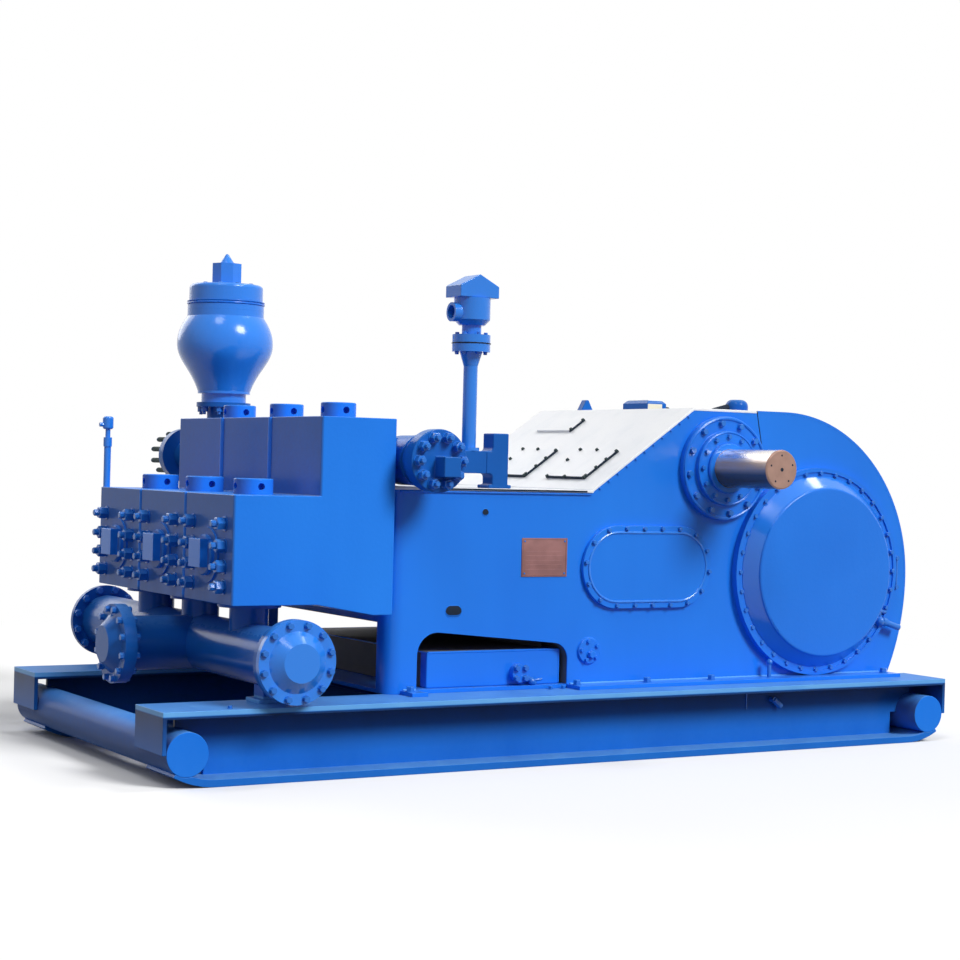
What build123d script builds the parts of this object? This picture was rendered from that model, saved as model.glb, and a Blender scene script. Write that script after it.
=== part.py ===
from build123d import *
from math import cos, hypot, radians, sin, tan
import os

# A triplex mud pump on its skid, in millimetres, +Z up.
# +X runs from the fluid end at the front to the gear case at the rear.
# -Y is the near side, with the driven end of the pinion shaft; +Y carries the discharge outlet.
# While it is built, x = 0 is the front of the skid, y = 0 the middle plane, z = 0 the underside.

# ---------------------------------------------------------------- driving dimensions

# Skid
SKID_LENGTH = 4600
SKID_WIDTH = 2050
BEAM_HEIGHT = 340
BEAM_WIDTH = 330
FLANGE_THICKNESS = 34
WEB_THICKNESS = 26
SLED_RADIUS = 420
SLED_ANGLE = 29
END_PLATE_THICKNESS = 20
SKID_PIPE_DIAMETER = 200
SKID_PIPE_HEIGHT = 150
CROSS_BEAM_COUNT = 3
CROSS_BEAM_WIDTH = 160
CROSS_BEAM_HEIGHT = 200
WELD_GAP = 0.3

# Power frame
FRAME_FRONT = 1250
FRAME_WIDTH = 1484
FRAME_CORNER = 78
DECK_HEIGHT = 1325
SLOPE_START = 2410
SLOPE_ANGLE = 35
TOP_HEIGHT = 1766
HOOD_RADIUS = 893
HOOD_THICKNESS = 14
HOOD_START = 3464
HOOD_SETBACK = 222
REAR_LEAN = 116
FOOT_THICKNESS = 19
FOOT_REACH = 120
TUNNEL_FRONT = 1415
TUNNEL_REAR = 2284
TUNNEL_HEIGHT = 286
TUNNEL_DROP = 84
TUNNEL_CORNER = 110
TUNNEL_REAR_CORNER = 85
CHAMBER_RISE = 40
SIDE_WALL = 110
FAR_LEG = 72
DECK_PLATE = 14
DECK_OVERHANG = 14
COVER_PLATE = 12
LOW_COVER_START = 105
LOW_COVER_LENGTH = 250
LOW_COVER_WIDTH = 355
LOW_COVER_NEAR_Y = -378
LOW_COVER_MIDDLE_Y = 202
TOP_COVER_GAP = 108
TOP_COVER_LENGTH = 115
TOP_COVER_WIDTH = 340
TOP_COVER_Y = 310

# Crankshaft and pinion
CRANK_X = 3877
CRANK_Z = 922
CRANK_FLANGE_RADIUS = 562
CRANK_FLANGE_THICKNESS = 34
CRANK_DRUM_RADIUS = 458
CRANK_DRUM_REACH = 76
CRANK_DRUM_EDGE = 14
CRANK_LIP = 8
CRANK_LIP_WIDTH = 22
PINION_X = 3228
PINION_Z = 1468
PINION_FLANGE_RADIUS = 274
PINION_FLANGE_THICKNESS = 34
PINION_HUB_RADIUS = 196
PINION_HUB_REACH = 24
PINION_BORE_RADIUS = 240
SHAFT_DIAMETER = 200
SHAFT_COLLAR_DIAMETER = 232
SHAFT_COLLAR_REACH = 16
SHAFT_REACH = 1240
SHAFT_CHAMFER = 6
SHAFT_CLEARANCE = 0.3

# Side doors and small covers
DOOR_LENGTH = 810
DOOR_HEIGHT = 424
DOOR_THICKNESS = 22
DOOR_X = 2757
DOOR_Z = 949

# Wash tank under the crossheads
TANK_FRONT = 1493
TANK_REAR = 2264
TANK_HEIGHT = 176
TANK_INSET = 42
TANK_COVER_RADIUS = 46
TANK_COVER_REACH = 40
TANK_COVER_X = 2010
TANK_COVER_RISE = 62

# Fluid end
MODULE_COUNT = 3
MODULE_PITCH = 575
MODULE_WIDTH = 560
LOWER_FRONT = 386
LOWER_BOTTOM = 785
UNDERSIDE_DROP = 52
UNDERSIDE_START = 815
UNDERSIDE_END = 1110
LOWER_TOP = 1288
UPPER_FRONT = 820
UPPER_TOP = 1660
MODULE_REAR = 1215
MODULE_EDGE = 8
SUCTION_COVER_X = 606
SUCTION_COVER_RADIUS = 93
DISCHARGE_COVER_X = 1042
DISCHARGE_COVER_RADIUS = 85
VALVE_COVER_HEIGHT = 74
VALVE_COVER_EDGE = 7
BAR_HOLE = 34
BAR_HOLE_DEPTH = 38
BAR_HOLES = 4
PLUG_RADIUS = 95
PLUG_REACH = 32
PLUG_EDGE = 6
PLUG_RING_RADIUS = 128
PLUG_RING = 10
PLUG_Z = 1004

# Suction manifold
SUCTION_X = 600
SUCTION_Z = 549
SUCTION_PIPE_RADIUS = 137
SUCTION_PIPE_WALL = 13
SUCTION_NEAR = 1080
SUCTION_FAR = 1330
SUCTION_NECK_RADIUS = 92
SUCTION_NECK_FLANGE_RADIUS = 150
SUCTION_NECK_FLANGE = 24
SUCTION_FLANGE_RADIUS = 191
SUCTION_FLANGE = 30
SUCTION_BOLT_CIRCLE = 340
SUCTION_BOLTS = 12
SUCTION_BOLT_HOLE = 24
BRANCH_Y = -20
BRANCH_RADIUS = 132
BRANCH_REACH = 165
CAP_RADIUS = 140
CAP_END_RADIUS = 88
CAP_HEIGHT = 78
PEDESTAL_Y = 800
PEDESTAL_WIDTH = 150
PEDESTAL_BASE = 18
PEDESTAL_POST = 90

# Discharge manifold
DISCHARGE_X = 1362
DISCHARGE_RISE = 141
DISCHARGE_PIPE_RADIUS = 84
DISCHARGE_NEAR = 930
SADDLE_WIDTH = 250
SADDLE_HEIGHT = 210
NEAR_FLANGE_RADIUS = 150
NEAR_FLANGE = 76
NEAR_HUB_RADIUS = 120
NEAR_HUB_LENGTH = 290
NEAR_RING_RADIUS = 126
NEAR_RING = 26
NEAR_RING_PITCH = 52
BOSS_X = 1384
BOSS_WIDTH = 90
BOSS_HEIGHT = 96
BOSS_DROP = 28
BOSS_REACH = 90
CROSS_Y = 1520
CROSS_LENGTH = 330
CROSS_RADIUS = 128
CROSS_NECK_RADIUS = 94
CROSS_FLANGE = 26
OUTLET_PIPE_RADIUS = 88
OUTLET_FACE = 2095
OUTLET_FLANGE_RADIUS = 160
OUTLET_FLANGE = 62
OUTLET_BORE_RADIUS = 50
OUTLET_STUDS = 12
OUTLET_STUD_CIRCLE = 260
OUTLET_STUD_RADIUS = 13
OUTLET_STUD_REACH = 175

# Pulsation dampener
DAMPENER_BASE = 1773
DAMPENER_FLANGE_RADIUS = 155
DAMPENER_NECK_RADIUS = 128
DAMPENER_NECK = 51
DAMPENER_WAIST_RADIUS = 150
DAMPENER_WAIST = 14
DAMPENER_RADIUS = 275
DAMPENER_WIDEST = 339
DAMPENER_HEIGHT = 493
LID_RADIUS = 219
LID_RIM = 66
LID_STEP = 8
LID_HEIGHT = 186
LID_EDGE = 22
FILLER_CAP_RADIUS = 89
FILLER_CAP_HEIGHT = 122
FILLER_CAP_POINT = 56
FILLER_CAP_SIDES = 8

# Relief valve on its riser, and the bracket that steadies it
RELIEF_X = 1698
RELIEF_Y = -700
RISER_RADIUS = 35
RISER_TOP = 2047
RISER_NECK = 70
RELIEF_FLANGE_RADIUS = 94
RELIEF_FLANGE = 42
RELIEF_NECK_RADIUS = 48
RELIEF_NECK = 46
RELIEF_BODY_RADIUS = 90
RELIEF_BODY_HEIGHT = 134
RELIEF_OUTLET_RADIUS = 47
RELIEF_OUTLET_BORE = 33
RELIEF_OUTLET_REACH = 118
RELIEF_OUTLET_RISE = 61
HOUSING_WIDTH = 218
HOUSING_DEPTH = 150
HOUSING_WALL = 58
HOUSING_PEAK = 56
ARM_HEIGHT = 110
ARM_THICKNESS = 100
ARM_STUB = 36
ARM_FILLET = 20
COLUMN_X = 1855
COLUMN_WIDTH = 90
COLUMN_HEIGHT = 271
COLUMN_PAD = 18
COLUMN_PAD_WIDTH = 130

# Gauge pole, lugs, hatch and breather
POLE_X = 408
POLE_Y = 828
POLE_RADIUS = 18
POLE_HEIGHT = 211
SLEEVE_RADIUS = 22
SLEEVE_HEIGHT = 48
POLE_NECK_RADIUS = 13
POLE_NECK = 42
POLE_HEAD_RADIUS = 28
POLE_HEAD = 68
POLE_STUB_RADIUS = 11
POLE_STUB_REACH = 46
LUG_Y = 372
LUG_SETBACK = 20
LUG_BASE = 80
LUG_TIP = 16
LUG_THICKNESS = 50
LUG_HEIGHT = 60
HATCH_X = 3232
HATCH_Y = -25
HATCH_LENGTH = 130
HATCH_WIDTH = 235
HATCH_HEIGHT = 54
BREATHER_X = 3540
BREATHER_Y = -460
BREATHER_RADIUS = 62
BREATHER_HEIGHT = 66

# ---------------------------------------------------------------- derived places

BEAM_Y = (SKID_WIDTH - BEAM_WIDTH) / 2
PIPE_X = END_PLATE_THICKNESS + SKID_PIPE_DIAMETER / 2
FRAME_SIDE = FRAME_WIDTH / 2
FOOT_TOP = BEAM_HEIGHT + FOOT_THICKNESS
DISCHARGE_Z = DECK_HEIGHT + DISCHARGE_RISE
HOOD_X = CRANK_X - HOOD_SETBACK
HOOD_Z = TOP_HEIGHT + HOOD_THICKNESS - HOOD_RADIUS
FRAME_REAR = HOOD_X + HOOD_RADIUS
SLOPE_RISE = tan(radians(SLOPE_ANGLE))
SLOPE_END = SLOPE_START + (TOP_HEIGHT - DECK_HEIGHT) / SLOPE_RISE
MODULE_Y = [MODULE_PITCH * (i - (MODULE_COUNT - 1) / 2) for i in range(MODULE_COUNT)]
MODULE_NAMES = ["near", "middle", "far"]
SIDES = {"near": -1, "far": 1}


# ---------------------------------------------------------------- shape helpers

def block(x0, x1, y0, y1, z0, z1):
    """A box between two corners."""
    return Pos((x0 + x1) / 2, (y0 + y1) / 2, (z0 + z1) / 2) * Box(x1 - x0, y1 - y0, z1 - z0)


def rod_x(radius, x0, x1, y, z):
    """A cylinder along X."""
    return Pos((x0 + x1) / 2, y, z) * Rot(0, 90, 0) * Cylinder(radius, x1 - x0)


def rod_y(radius, y0, y1, x, z):
    """A cylinder along Y."""
    return Pos(x, (y0 + y1) / 2, z) * Rot(90, 0, 0) * Cylinder(radius, y1 - y0)


def rod_z(radius, z0, z1, x, y):
    """A cylinder along Z."""
    return Pos(x, y, (z0 + z1) / 2) * Cylinder(radius, z1 - z0)


def across(face, y0, y1):
    """Side view drawn as (x, z), carried across the pump from y0 to y1."""
    plane = Plane(origin=(0, y0, 0), x_dir=(1, 0, 0), z_dir=(0, -1, 0))
    return extrude(plane * face, amount=-(y1 - y0))


def turned(points):
    """A body turned about Z from a half outline of (radius, height) points."""
    outline = Polyline(*points, close=True)
    return revolve(Plane.XZ * make_face(outline), Axis.Z)


def ring_of(count, radius, start=0):
    """Places of a bolt circle as (across, up) pairs."""
    angles = [radians(start + 360 * i / count) for i in range(count)]
    return [(radius * cos(a), radius * sin(a)) for a in angles]


# ---------------------------------------------------------------- skid

def sled_flange():
    """Side view of the bottom flange: flat in the middle and turned up at both ends."""
    angle = radians(SLED_ANGLE)
    inner = SLED_RADIUS - FLANGE_THICKNESS
    tip_outer = (SLED_RADIUS * sin(angle), SLED_RADIUS * (1 - cos(angle)))
    tip_inner = (inner * sin(angle), SLED_RADIUS - inner * cos(angle))
    front = PIPE_X + SLED_RADIUS * sin(angle) - SKID_PIPE_DIAMETER * 0.32
    rear = SKID_LENGTH - front
    lower = Line((front, 0), (rear, 0))
    upper = Line((front, FLANGE_THICKNESS), (rear, FLANGE_THICKNESS))
    front_low = CenterArc((front, SLED_RADIUS), SLED_RADIUS, -90, -SLED_ANGLE)
    front_up = CenterArc((front, SLED_RADIUS), inner, -90, -SLED_ANGLE)
    rear_low = CenterArc((rear, SLED_RADIUS), SLED_RADIUS, -90, SLED_ANGLE)
    rear_up = CenterArc((rear, SLED_RADIUS), inner, -90, SLED_ANGLE)
    front_tip = Line((front - tip_outer[0], tip_outer[1]), (front - tip_inner[0], tip_inner[1]))
    rear_tip = Line((rear + tip_outer[0], tip_outer[1]), (rear + tip_inner[0], tip_inner[1]))
    return make_face([lower, rear_low, rear_tip, rear_up, upper, front_up, front_tip, front_low])


def skid_beam(side):
    """A wide-flange beam with sled ends, end plates and holes for the cross pipes."""
    y0 = side * BEAM_Y - BEAM_WIDTH / 2
    y1 = side * BEAM_Y + BEAM_WIDTH / 2
    beam = across(sled_flange(), y0, y1)
    beam += block(0, SKID_LENGTH, y0, y1, BEAM_HEIGHT - FLANGE_THICKNESS, BEAM_HEIGHT)
    web_y = side * BEAM_Y
    web_front = PIPE_X
    beam += block(web_front, SKID_LENGTH - web_front, web_y - WEB_THICKNESS / 2,
                  web_y + WEB_THICKNESS / 2, SKID_PIPE_HEIGHT, BEAM_HEIGHT - FLANGE_THICKNESS)
    low_front = PIPE_X + SLED_RADIUS * sin(radians(SLED_ANGLE)) - SKID_PIPE_DIAMETER * 0.32
    beam += block(low_front, SKID_LENGTH - low_front, web_y - WEB_THICKNESS / 2,
                  web_y + WEB_THICKNESS / 2, FLANGE_THICKNESS / 2, SKID_PIPE_HEIGHT)
    for x0 in (0, SKID_LENGTH - END_PLATE_THICKNESS):
        beam += block(x0, x0 + END_PLATE_THICKNESS, y0, y1, SKID_PIPE_HEIGHT, BEAM_HEIGHT)
    for x in (PIPE_X, SKID_LENGTH - PIPE_X):
        beam -= rod_y(SKID_PIPE_DIAMETER / 2 + WELD_GAP, y0 - 1, y1 + 1, x, SKID_PIPE_HEIGHT)
    return beam


def skid_pipe(x):
    """A cross pipe through both beams, closed by its end discs."""
    return rod_y(SKID_PIPE_DIAMETER / 2, -SKID_WIDTH / 2, SKID_WIDTH / 2, x, SKID_PIPE_HEIGHT)


def skid_cross_beams():
    """Boxes between the webs under the power frame."""
    reach = BEAM_Y - WEB_THICKNESS / 2 - WELD_GAP
    first = FRAME_FRONT + CROSS_BEAM_WIDTH
    last = FRAME_REAR - REAR_LEAN - CROSS_BEAM_WIDTH
    top = BEAM_HEIGHT - FLANGE_THICKNESS - WELD_GAP
    step = (last - first) / (CROSS_BEAM_COUNT - 1)
    beams = Part()
    for i in range(CROSS_BEAM_COUNT):
        x = first + step * i
        beams += block(x - CROSS_BEAM_WIDTH / 2, x + CROSS_BEAM_WIDTH / 2, -reach, reach,
                       top - CROSS_BEAM_HEIGHT, top)
    return beams


# ---------------------------------------------------------------- power frame

def back_arc(thickness, tip):
    """The back of the gear case, from the hood's lowest point in to the foot, as its end points and arc."""
    rear = (HOOD_X + HOOD_RADIUS - thickness, HOOD_Z)
    foot = (FRAME_REAR - REAR_LEAN - thickness, tip)
    return rear, foot, TangentArc(rear, foot, tangent=(0, -1))


def frame_outline():
    """Side view of the housing: low front deck, slope, top, round gear case and leaning back."""
    rear, foot, back = back_arc(HOOD_THICKNESS, FOOT_TOP)
    front = Polyline(foot, (foot[0], BEAM_HEIGHT), (FRAME_FRONT, BEAM_HEIGHT), (FRAME_FRONT, DECK_HEIGHT),
                     (SLOPE_START, DECK_HEIGHT), (SLOPE_END, TOP_HEIGHT), (HOOD_X, TOP_HEIGHT))
    crown = CenterArc((HOOD_X, HOOD_Z), HOOD_RADIUS - HOOD_THICKNESS, 0, 90)
    return make_face([front, crown, back])


def tunnel_outline():
    """The arched opening through the lower front of the housing, with its top falling to the rear."""
    low = BEAM_HEIGHT - TUNNEL_HEIGHT
    front_top = FOOT_TOP + TUNNEL_HEIGHT
    arch = make_face(Polyline(
        (TUNNEL_FRONT, low), (TUNNEL_REAR, low), (TUNNEL_REAR, front_top - TUNNEL_DROP),
        (TUNNEL_FRONT, front_top), close=True))
    front = arch.vertices().group_by(Axis.X)[0].sort_by(Axis.Y)[-1]
    arch = fillet(front, TUNNEL_CORNER)
    rear = arch.vertices().group_by(Axis.X)[-1].sort_by(Axis.Y)[-1]
    return fillet(rear, TUNNEL_REAR_CORNER)


def chamber_outline():
    """The hollow behind the front window, which opens into the tunnel."""
    front_top = FOOT_TOP + TUNNEL_HEIGHT + CHAMBER_RISE
    rear_top = FOOT_TOP + TUNNEL_HEIGHT - TUNNEL_DROP
    return make_face(Polyline(
        (FRAME_FRONT - 1, FOOT_TOP), (TUNNEL_REAR - TUNNEL_REAR_CORNER, FOOT_TOP),
        (TUNNEL_REAR - TUNNEL_REAR_CORNER, rear_top), (FRAME_FRONT - 1, front_top), close=True))


def power_frame():
    """The welded housing: feet, front window, tunnel for the wash tank and pinion bore."""
    body = across(frame_outline(), -FRAME_SIDE, FRAME_SIDE)
    corners = body.edges().filter_by(Axis.Z).filter_by(lambda e: abs(e.center().X - FRAME_FRONT) < 1)
    body = fillet(corners, FRAME_CORNER)
    rear_foot = FRAME_REAR - REAR_LEAN - HOOD_THICKNESS
    reach = FRAME_SIDE + FOOT_REACH
    body += block(TUNNEL_REAR, rear_foot, -reach, reach, BEAM_HEIGHT, FOOT_TOP)
    body += block(FRAME_FRONT + FRAME_CORNER, TUNNEL_FRONT, -reach, reach, BEAM_HEIGHT, FOOT_TOP)
    floor = across(tunnel_outline(), -FRAME_SIDE - 5, FRAME_SIDE + 5)
    floor -= block(TUNNEL_FRONT - 1, TUNNEL_REAR + 1, -FRAME_WIDTH, FRAME_WIDTH, 0, FOOT_TOP)
    body -= floor
    inner = FRAME_SIDE - SIDE_WALL
    body -= across(chamber_outline(), -inner, inner)
    behind_leg = block(FRAME_FRONT + FAR_LEG, TUNNEL_REAR, inner - 1, FRAME_SIDE + 5, FOOT_TOP, DECK_HEIGHT)
    body -= across(chamber_outline(), inner - 1, FRAME_SIDE + 5) & behind_leg
    body -= rod_y(PINION_BORE_RADIUS, -FRAME_SIDE - 1, FRAME_SIDE + 1, PINION_X, PINION_Z)
    return body


def rear_hood():
    """The rolled sheet over the gear case, from its seam on the top down to the feet at the back."""
    inner = HOOD_RADIUS - HOOD_THICKNESS
    outer_rear, outer_foot, outer_back = back_arc(0, FOOT_TOP)
    inner_rear, inner_foot, inner_back = back_arc(HOOD_THICKNESS, FOOT_TOP)
    sheet = make_face([
        CenterArc((HOOD_X, HOOD_Z), inner, 0, 90),
        Polyline((HOOD_X, HOOD_Z + inner), (HOOD_START, HOOD_Z + inner),
                 (HOOD_START, HOOD_Z + HOOD_RADIUS), (HOOD_X, HOOD_Z + HOOD_RADIUS)),
        CenterArc((HOOD_X, HOOD_Z), HOOD_RADIUS, 0, 90),
        outer_back,
        Line(outer_foot, inner_foot),
        inner_back,
    ])
    return across(sheet, -FRAME_SIDE, FRAME_SIDE)


def front_deck():
    """The flat plate over the front of the housing, a little proud of the front and sides."""
    return block(FRAME_FRONT + 2, SLOPE_START, -FRAME_SIDE - DECK_OVERHANG, FRAME_SIDE + DECK_OVERHANG,
                 DECK_HEIGHT, DECK_HEIGHT + DECK_PLATE)


def slope_frame(distance, y):
    """A place on the slope, with z square to it, at a distance up from its foot."""
    x = SLOPE_START + distance * cos(radians(SLOPE_ANGLE))
    z = DECK_HEIGHT + distance * sin(radians(SLOPE_ANGLE))
    return Location((x, y, z), (0, -SLOPE_ANGLE, 0))


SLOPE_LENGTH = hypot(SLOPE_END - SLOPE_START, TOP_HEIGHT - DECK_HEIGHT)


def sloped_deck():
    """The plate on the slope and its flat run over the top to the hood seam."""
    side = FRAME_SIDE
    miter = DECK_PLATE * tan(radians(SLOPE_ANGLE / 2))
    outline = Polyline(
        (SLOPE_START, DECK_HEIGHT), (SLOPE_END, TOP_HEIGHT), (HOOD_START, TOP_HEIGHT),
        (HOOD_START, TOP_HEIGHT + DECK_PLATE), (SLOPE_END - miter, TOP_HEIGHT + DECK_PLATE),
        (SLOPE_START - miter, DECK_HEIGHT + DECK_PLATE), (SLOPE_START, DECK_HEIGHT + DECK_PLATE), close=True)
    return across(make_face(outline), -side, side) - block(
        SLOPE_START - 50, SLOPE_START, -FRAME_WIDTH, FRAME_WIDTH, 0, TOP_HEIGHT)


def deck_cover(distance, length, width, y):
    """A bolted plate lying on the sloped deck."""
    place = slope_frame(distance + length / 2, y)
    plate = Pos(0, 0, DECK_PLATE + COVER_PLATE / 2) * Box(length, width, COVER_PLATE)
    return place * plate


def crosshead_door(side):
    """A long round-ended plate bolted over the crosshead window."""
    y0, y1 = sorted((side * FRAME_SIDE, side * (FRAME_SIDE + DOOR_THICKNESS)))
    shape = Pos(DOOR_X, DOOR_Z) * SlotOverall(DOOR_LENGTH, DOOR_HEIGHT)
    return across(shape, y0, y1)


def crank_cover(side):
    """The main bearing cover: bolted flange with a raised outer lip, and a thick flat drum."""
    flange = rod_z(CRANK_FLANGE_RADIUS, 0, CRANK_FLANGE_THICKNESS + CRANK_LIP, 0, 0)
    flange -= rod_z(CRANK_FLANGE_RADIUS - CRANK_LIP_WIDTH, CRANK_FLANGE_THICKNESS,
                    CRANK_FLANGE_THICKNESS + CRANK_LIP + 1, 0, 0)
    drum = rod_z(CRANK_DRUM_RADIUS, 0, CRANK_FLANGE_THICKNESS + CRANK_DRUM_REACH, 0, 0)
    drum = fillet(drum.edges().group_by(Axis.Z)[-1], CRANK_DRUM_EDGE)
    return Pos(CRANK_X, side * FRAME_SIDE, CRANK_Z) * Rot(-90 * side, 0, 0) * (flange + drum)


def pinion_cover(side):
    """The pinion bearing cover: bolted flange, raised hub and the hole for the shaft."""
    face = PINION_FLANGE_THICKNESS + PINION_HUB_REACH
    cover = rod_z(PINION_FLANGE_RADIUS, 0, PINION_FLANGE_THICKNESS, 0, 0)
    cover += rod_z(PINION_HUB_RADIUS, 0, face, 0, 0)
    cover -= rod_z(SHAFT_COLLAR_DIAMETER / 2 + SHAFT_CLEARANCE, -1, face + 1, 0, 0)
    return Pos(PINION_X, side * FRAME_SIDE, PINION_Z) * Rot(-90 * side, 0, 0) * cover


def pinion_shaft():
    """The through shaft: thicker where it runs in the covers, with bevelled bare ends."""
    shaft = rod_y(SHAFT_DIAMETER / 2, -SHAFT_REACH, SHAFT_REACH, PINION_X, PINION_Z)
    shaft = chamfer(shaft.edges().filter_by(GeomType.CIRCLE), SHAFT_CHAMFER)
    collar = FRAME_SIDE + PINION_FLANGE_THICKNESS + PINION_HUB_REACH + SHAFT_COLLAR_REACH
    return shaft + rod_y(SHAFT_COLLAR_DIAMETER / 2, -collar, collar, PINION_X, PINION_Z)


def wash_tank():
    """The tank that lies through the tunnel."""
    tank = block(TANK_FRONT, TANK_REAR, -FRAME_SIDE + TANK_INSET, FRAME_SIDE - TANK_INSET,
                 FOOT_TOP, FOOT_TOP + TANK_HEIGHT)
    return tank


def wash_tank_cover():
    """The round clean-out cover on the near end of the tank."""
    y1 = -FRAME_SIDE + TANK_INSET
    return rod_y(TANK_COVER_RADIUS, y1 - TANK_COVER_REACH, y1, TANK_COVER_X, FOOT_TOP + TANK_COVER_RISE)


# ---------------------------------------------------------------- fluid end

def fluid_module(y):
    """One L-shaped forging: low suction block in front, tall discharge block behind."""
    outline = Polyline(
        (LOWER_FRONT, LOWER_BOTTOM), (UNDERSIDE_START, LOWER_BOTTOM),
        (UNDERSIDE_END, LOWER_BOTTOM - UNDERSIDE_DROP), (MODULE_REAR, LOWER_BOTTOM - UNDERSIDE_DROP),
        (MODULE_REAR, UPPER_TOP), (UPPER_FRONT, UPPER_TOP), (UPPER_FRONT, LOWER_TOP),
        (LOWER_FRONT, LOWER_TOP), close=True)
    body = across(make_face(outline), y - MODULE_WIDTH / 2, y + MODULE_WIDTH / 2)
    return chamfer(body.edges().filter_by(Axis.Z), MODULE_EDGE)


def fluid_end_plate():
    """The thick plate between the modules and the front of the housing."""
    half = FRAME_SIDE - FRAME_CORNER
    return block(MODULE_REAR, FRAME_FRONT, -half, half, LOWER_BOTTOM - UNDERSIDE_DROP, DECK_HEIGHT)


def valve_cover(x, y, z, radius):
    """A plain round screwed cover with radial holes for the bar that turns it."""
    cover = rod_z(radius, 0, VALVE_COVER_HEIGHT, 0, 0)
    cover = fillet(cover.edges().group_by(Axis.Z)[-1], VALVE_COVER_EDGE)
    hole = rod_x(BAR_HOLE / 2, radius - BAR_HOLE_DEPTH, radius + 1, 0, VALVE_COVER_HEIGHT / 2)
    for i in range(BAR_HOLES):
        cover -= Rot(0, 0, 360 * i / BAR_HOLES) * hole
    return Pos(x, y, z) * cover


def cylinder_plug(y):
    """The round plug in the front face of a module, in its flat seat ring."""
    plug = rod_x(PLUG_RADIUS, LOWER_FRONT - PLUG_REACH, LOWER_FRONT, y, PLUG_Z)
    plug = chamfer(plug.edges().group_by(Axis.X)[0], PLUG_EDGE)
    return plug + rod_x(PLUG_RING_RADIUS, LOWER_FRONT - PLUG_RING, LOWER_FRONT, y, PLUG_Z)


# ---------------------------------------------------------------- suction manifold

def suction_manifold():
    """The pipe under the fluid end, its front branch and the flanged necks to the modules."""
    outer = rod_y(SUCTION_PIPE_RADIUS, -SUCTION_NEAR, SUCTION_FAR, SUCTION_X, SUCTION_Z)
    outer += rod_x(BRANCH_RADIUS, BRANCH_REACH, SUCTION_X, BRANCH_Y, SUCTION_Z)
    for y in MODULE_Y:
        outer += rod_z(SUCTION_NECK_RADIUS, SUCTION_Z, LOWER_BOTTOM, SUCTION_X, y)
        outer += rod_z(SUCTION_NECK_FLANGE_RADIUS, LOWER_BOTTOM - SUCTION_NECK_FLANGE, LOWER_BOTTOM,
                       SUCTION_X, y)
    bore = SUCTION_PIPE_RADIUS - SUCTION_PIPE_WALL
    outer += rod_x(SUCTION_FLANGE_RADIUS, BRANCH_REACH, BRANCH_REACH + SUCTION_FLANGE, BRANCH_Y, SUCTION_Z)
    outer += rod_y(SUCTION_FLANGE_RADIUS, -SUCTION_NEAR, -SUCTION_NEAR + SUCTION_FLANGE,
                   SUCTION_X, SUCTION_Z)
    outer += rod_y(SUCTION_FLANGE_RADIUS, SUCTION_FAR - SUCTION_FLANGE, SUCTION_FAR,
                   SUCTION_X, SUCTION_Z)
    outer -= rod_y(bore, 0, SUCTION_FAR + 1, SUCTION_X, SUCTION_Z)
    for across_, up in ring_of(SUCTION_BOLTS, SUCTION_BOLT_CIRCLE / 2, 15):
        outer -= rod_y(SUCTION_BOLT_HOLE / 2, SUCTION_FAR - SUCTION_FLANGE - 1, SUCTION_FAR + 1,
                       SUCTION_X + across_, SUCTION_Z + up)
    return outer


def suction_cap():
    """A blind flange with a raised cone, facing up Z from its seat."""
    return turned([(0, 0), (SUCTION_FLANGE_RADIUS, 0), (SUCTION_FLANGE_RADIUS, SUCTION_FLANGE),
                   (CAP_RADIUS, SUCTION_FLANGE), (CAP_END_RADIUS, CAP_HEIGHT), (0, CAP_HEIGHT)])


def manifold_pedestals():
    """Posts from the beams up to the suction pipe, one at each end."""
    posts = Part()
    for side in (-1, 1):
        y = side * PEDESTAL_Y
        half = PEDESTAL_WIDTH / 2
        post = block(SUCTION_X - half, SUCTION_X + half, y - half, y + half,
                     BEAM_HEIGHT, BEAM_HEIGHT + PEDESTAL_BASE)
        post += block(SUCTION_X - PEDESTAL_POST / 2, SUCTION_X + PEDESTAL_POST / 2, y - half * 0.7,
                      y + half * 0.7, BEAM_HEIGHT, SUCTION_Z)
        post -= rod_y(SUCTION_PIPE_RADIUS + WELD_GAP, y - half - 1, y + half + 1, SUCTION_X, SUCTION_Z)
        posts += post
    return posts


# ---------------------------------------------------------------- discharge manifold and dampener

def discharge_manifold():
    """The pipe behind the upper blocks, with a square saddle to each module and a ringed near hub."""
    pipe = rod_y(DISCHARGE_PIPE_RADIUS, -DISCHARGE_NEAR, CROSS_Y - CROSS_LENGTH / 2,
                 DISCHARGE_X, DISCHARGE_Z)
    pipe += rod_y(NEAR_HUB_RADIUS, -DISCHARGE_NEAR, -DISCHARGE_NEAR + NEAR_HUB_LENGTH,
                  DISCHARGE_X, DISCHARGE_Z)
    for i in range(2):
        y0 = -DISCHARGE_NEAR + NEAR_RING + NEAR_RING_PITCH * i
        pipe += rod_y(NEAR_RING_RADIUS, y0, y0 + NEAR_RING, DISCHARGE_X, DISCHARGE_Z)
    for y in MODULE_Y:
        pipe += block(MODULE_REAR, DISCHARGE_X, y - SADDLE_WIDTH / 2, y + SADDLE_WIDTH / 2,
                      DISCHARGE_Z - SADDLE_HEIGHT / 2, DISCHARGE_Z + SADDLE_HEIGHT / 2)
    return pipe


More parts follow.
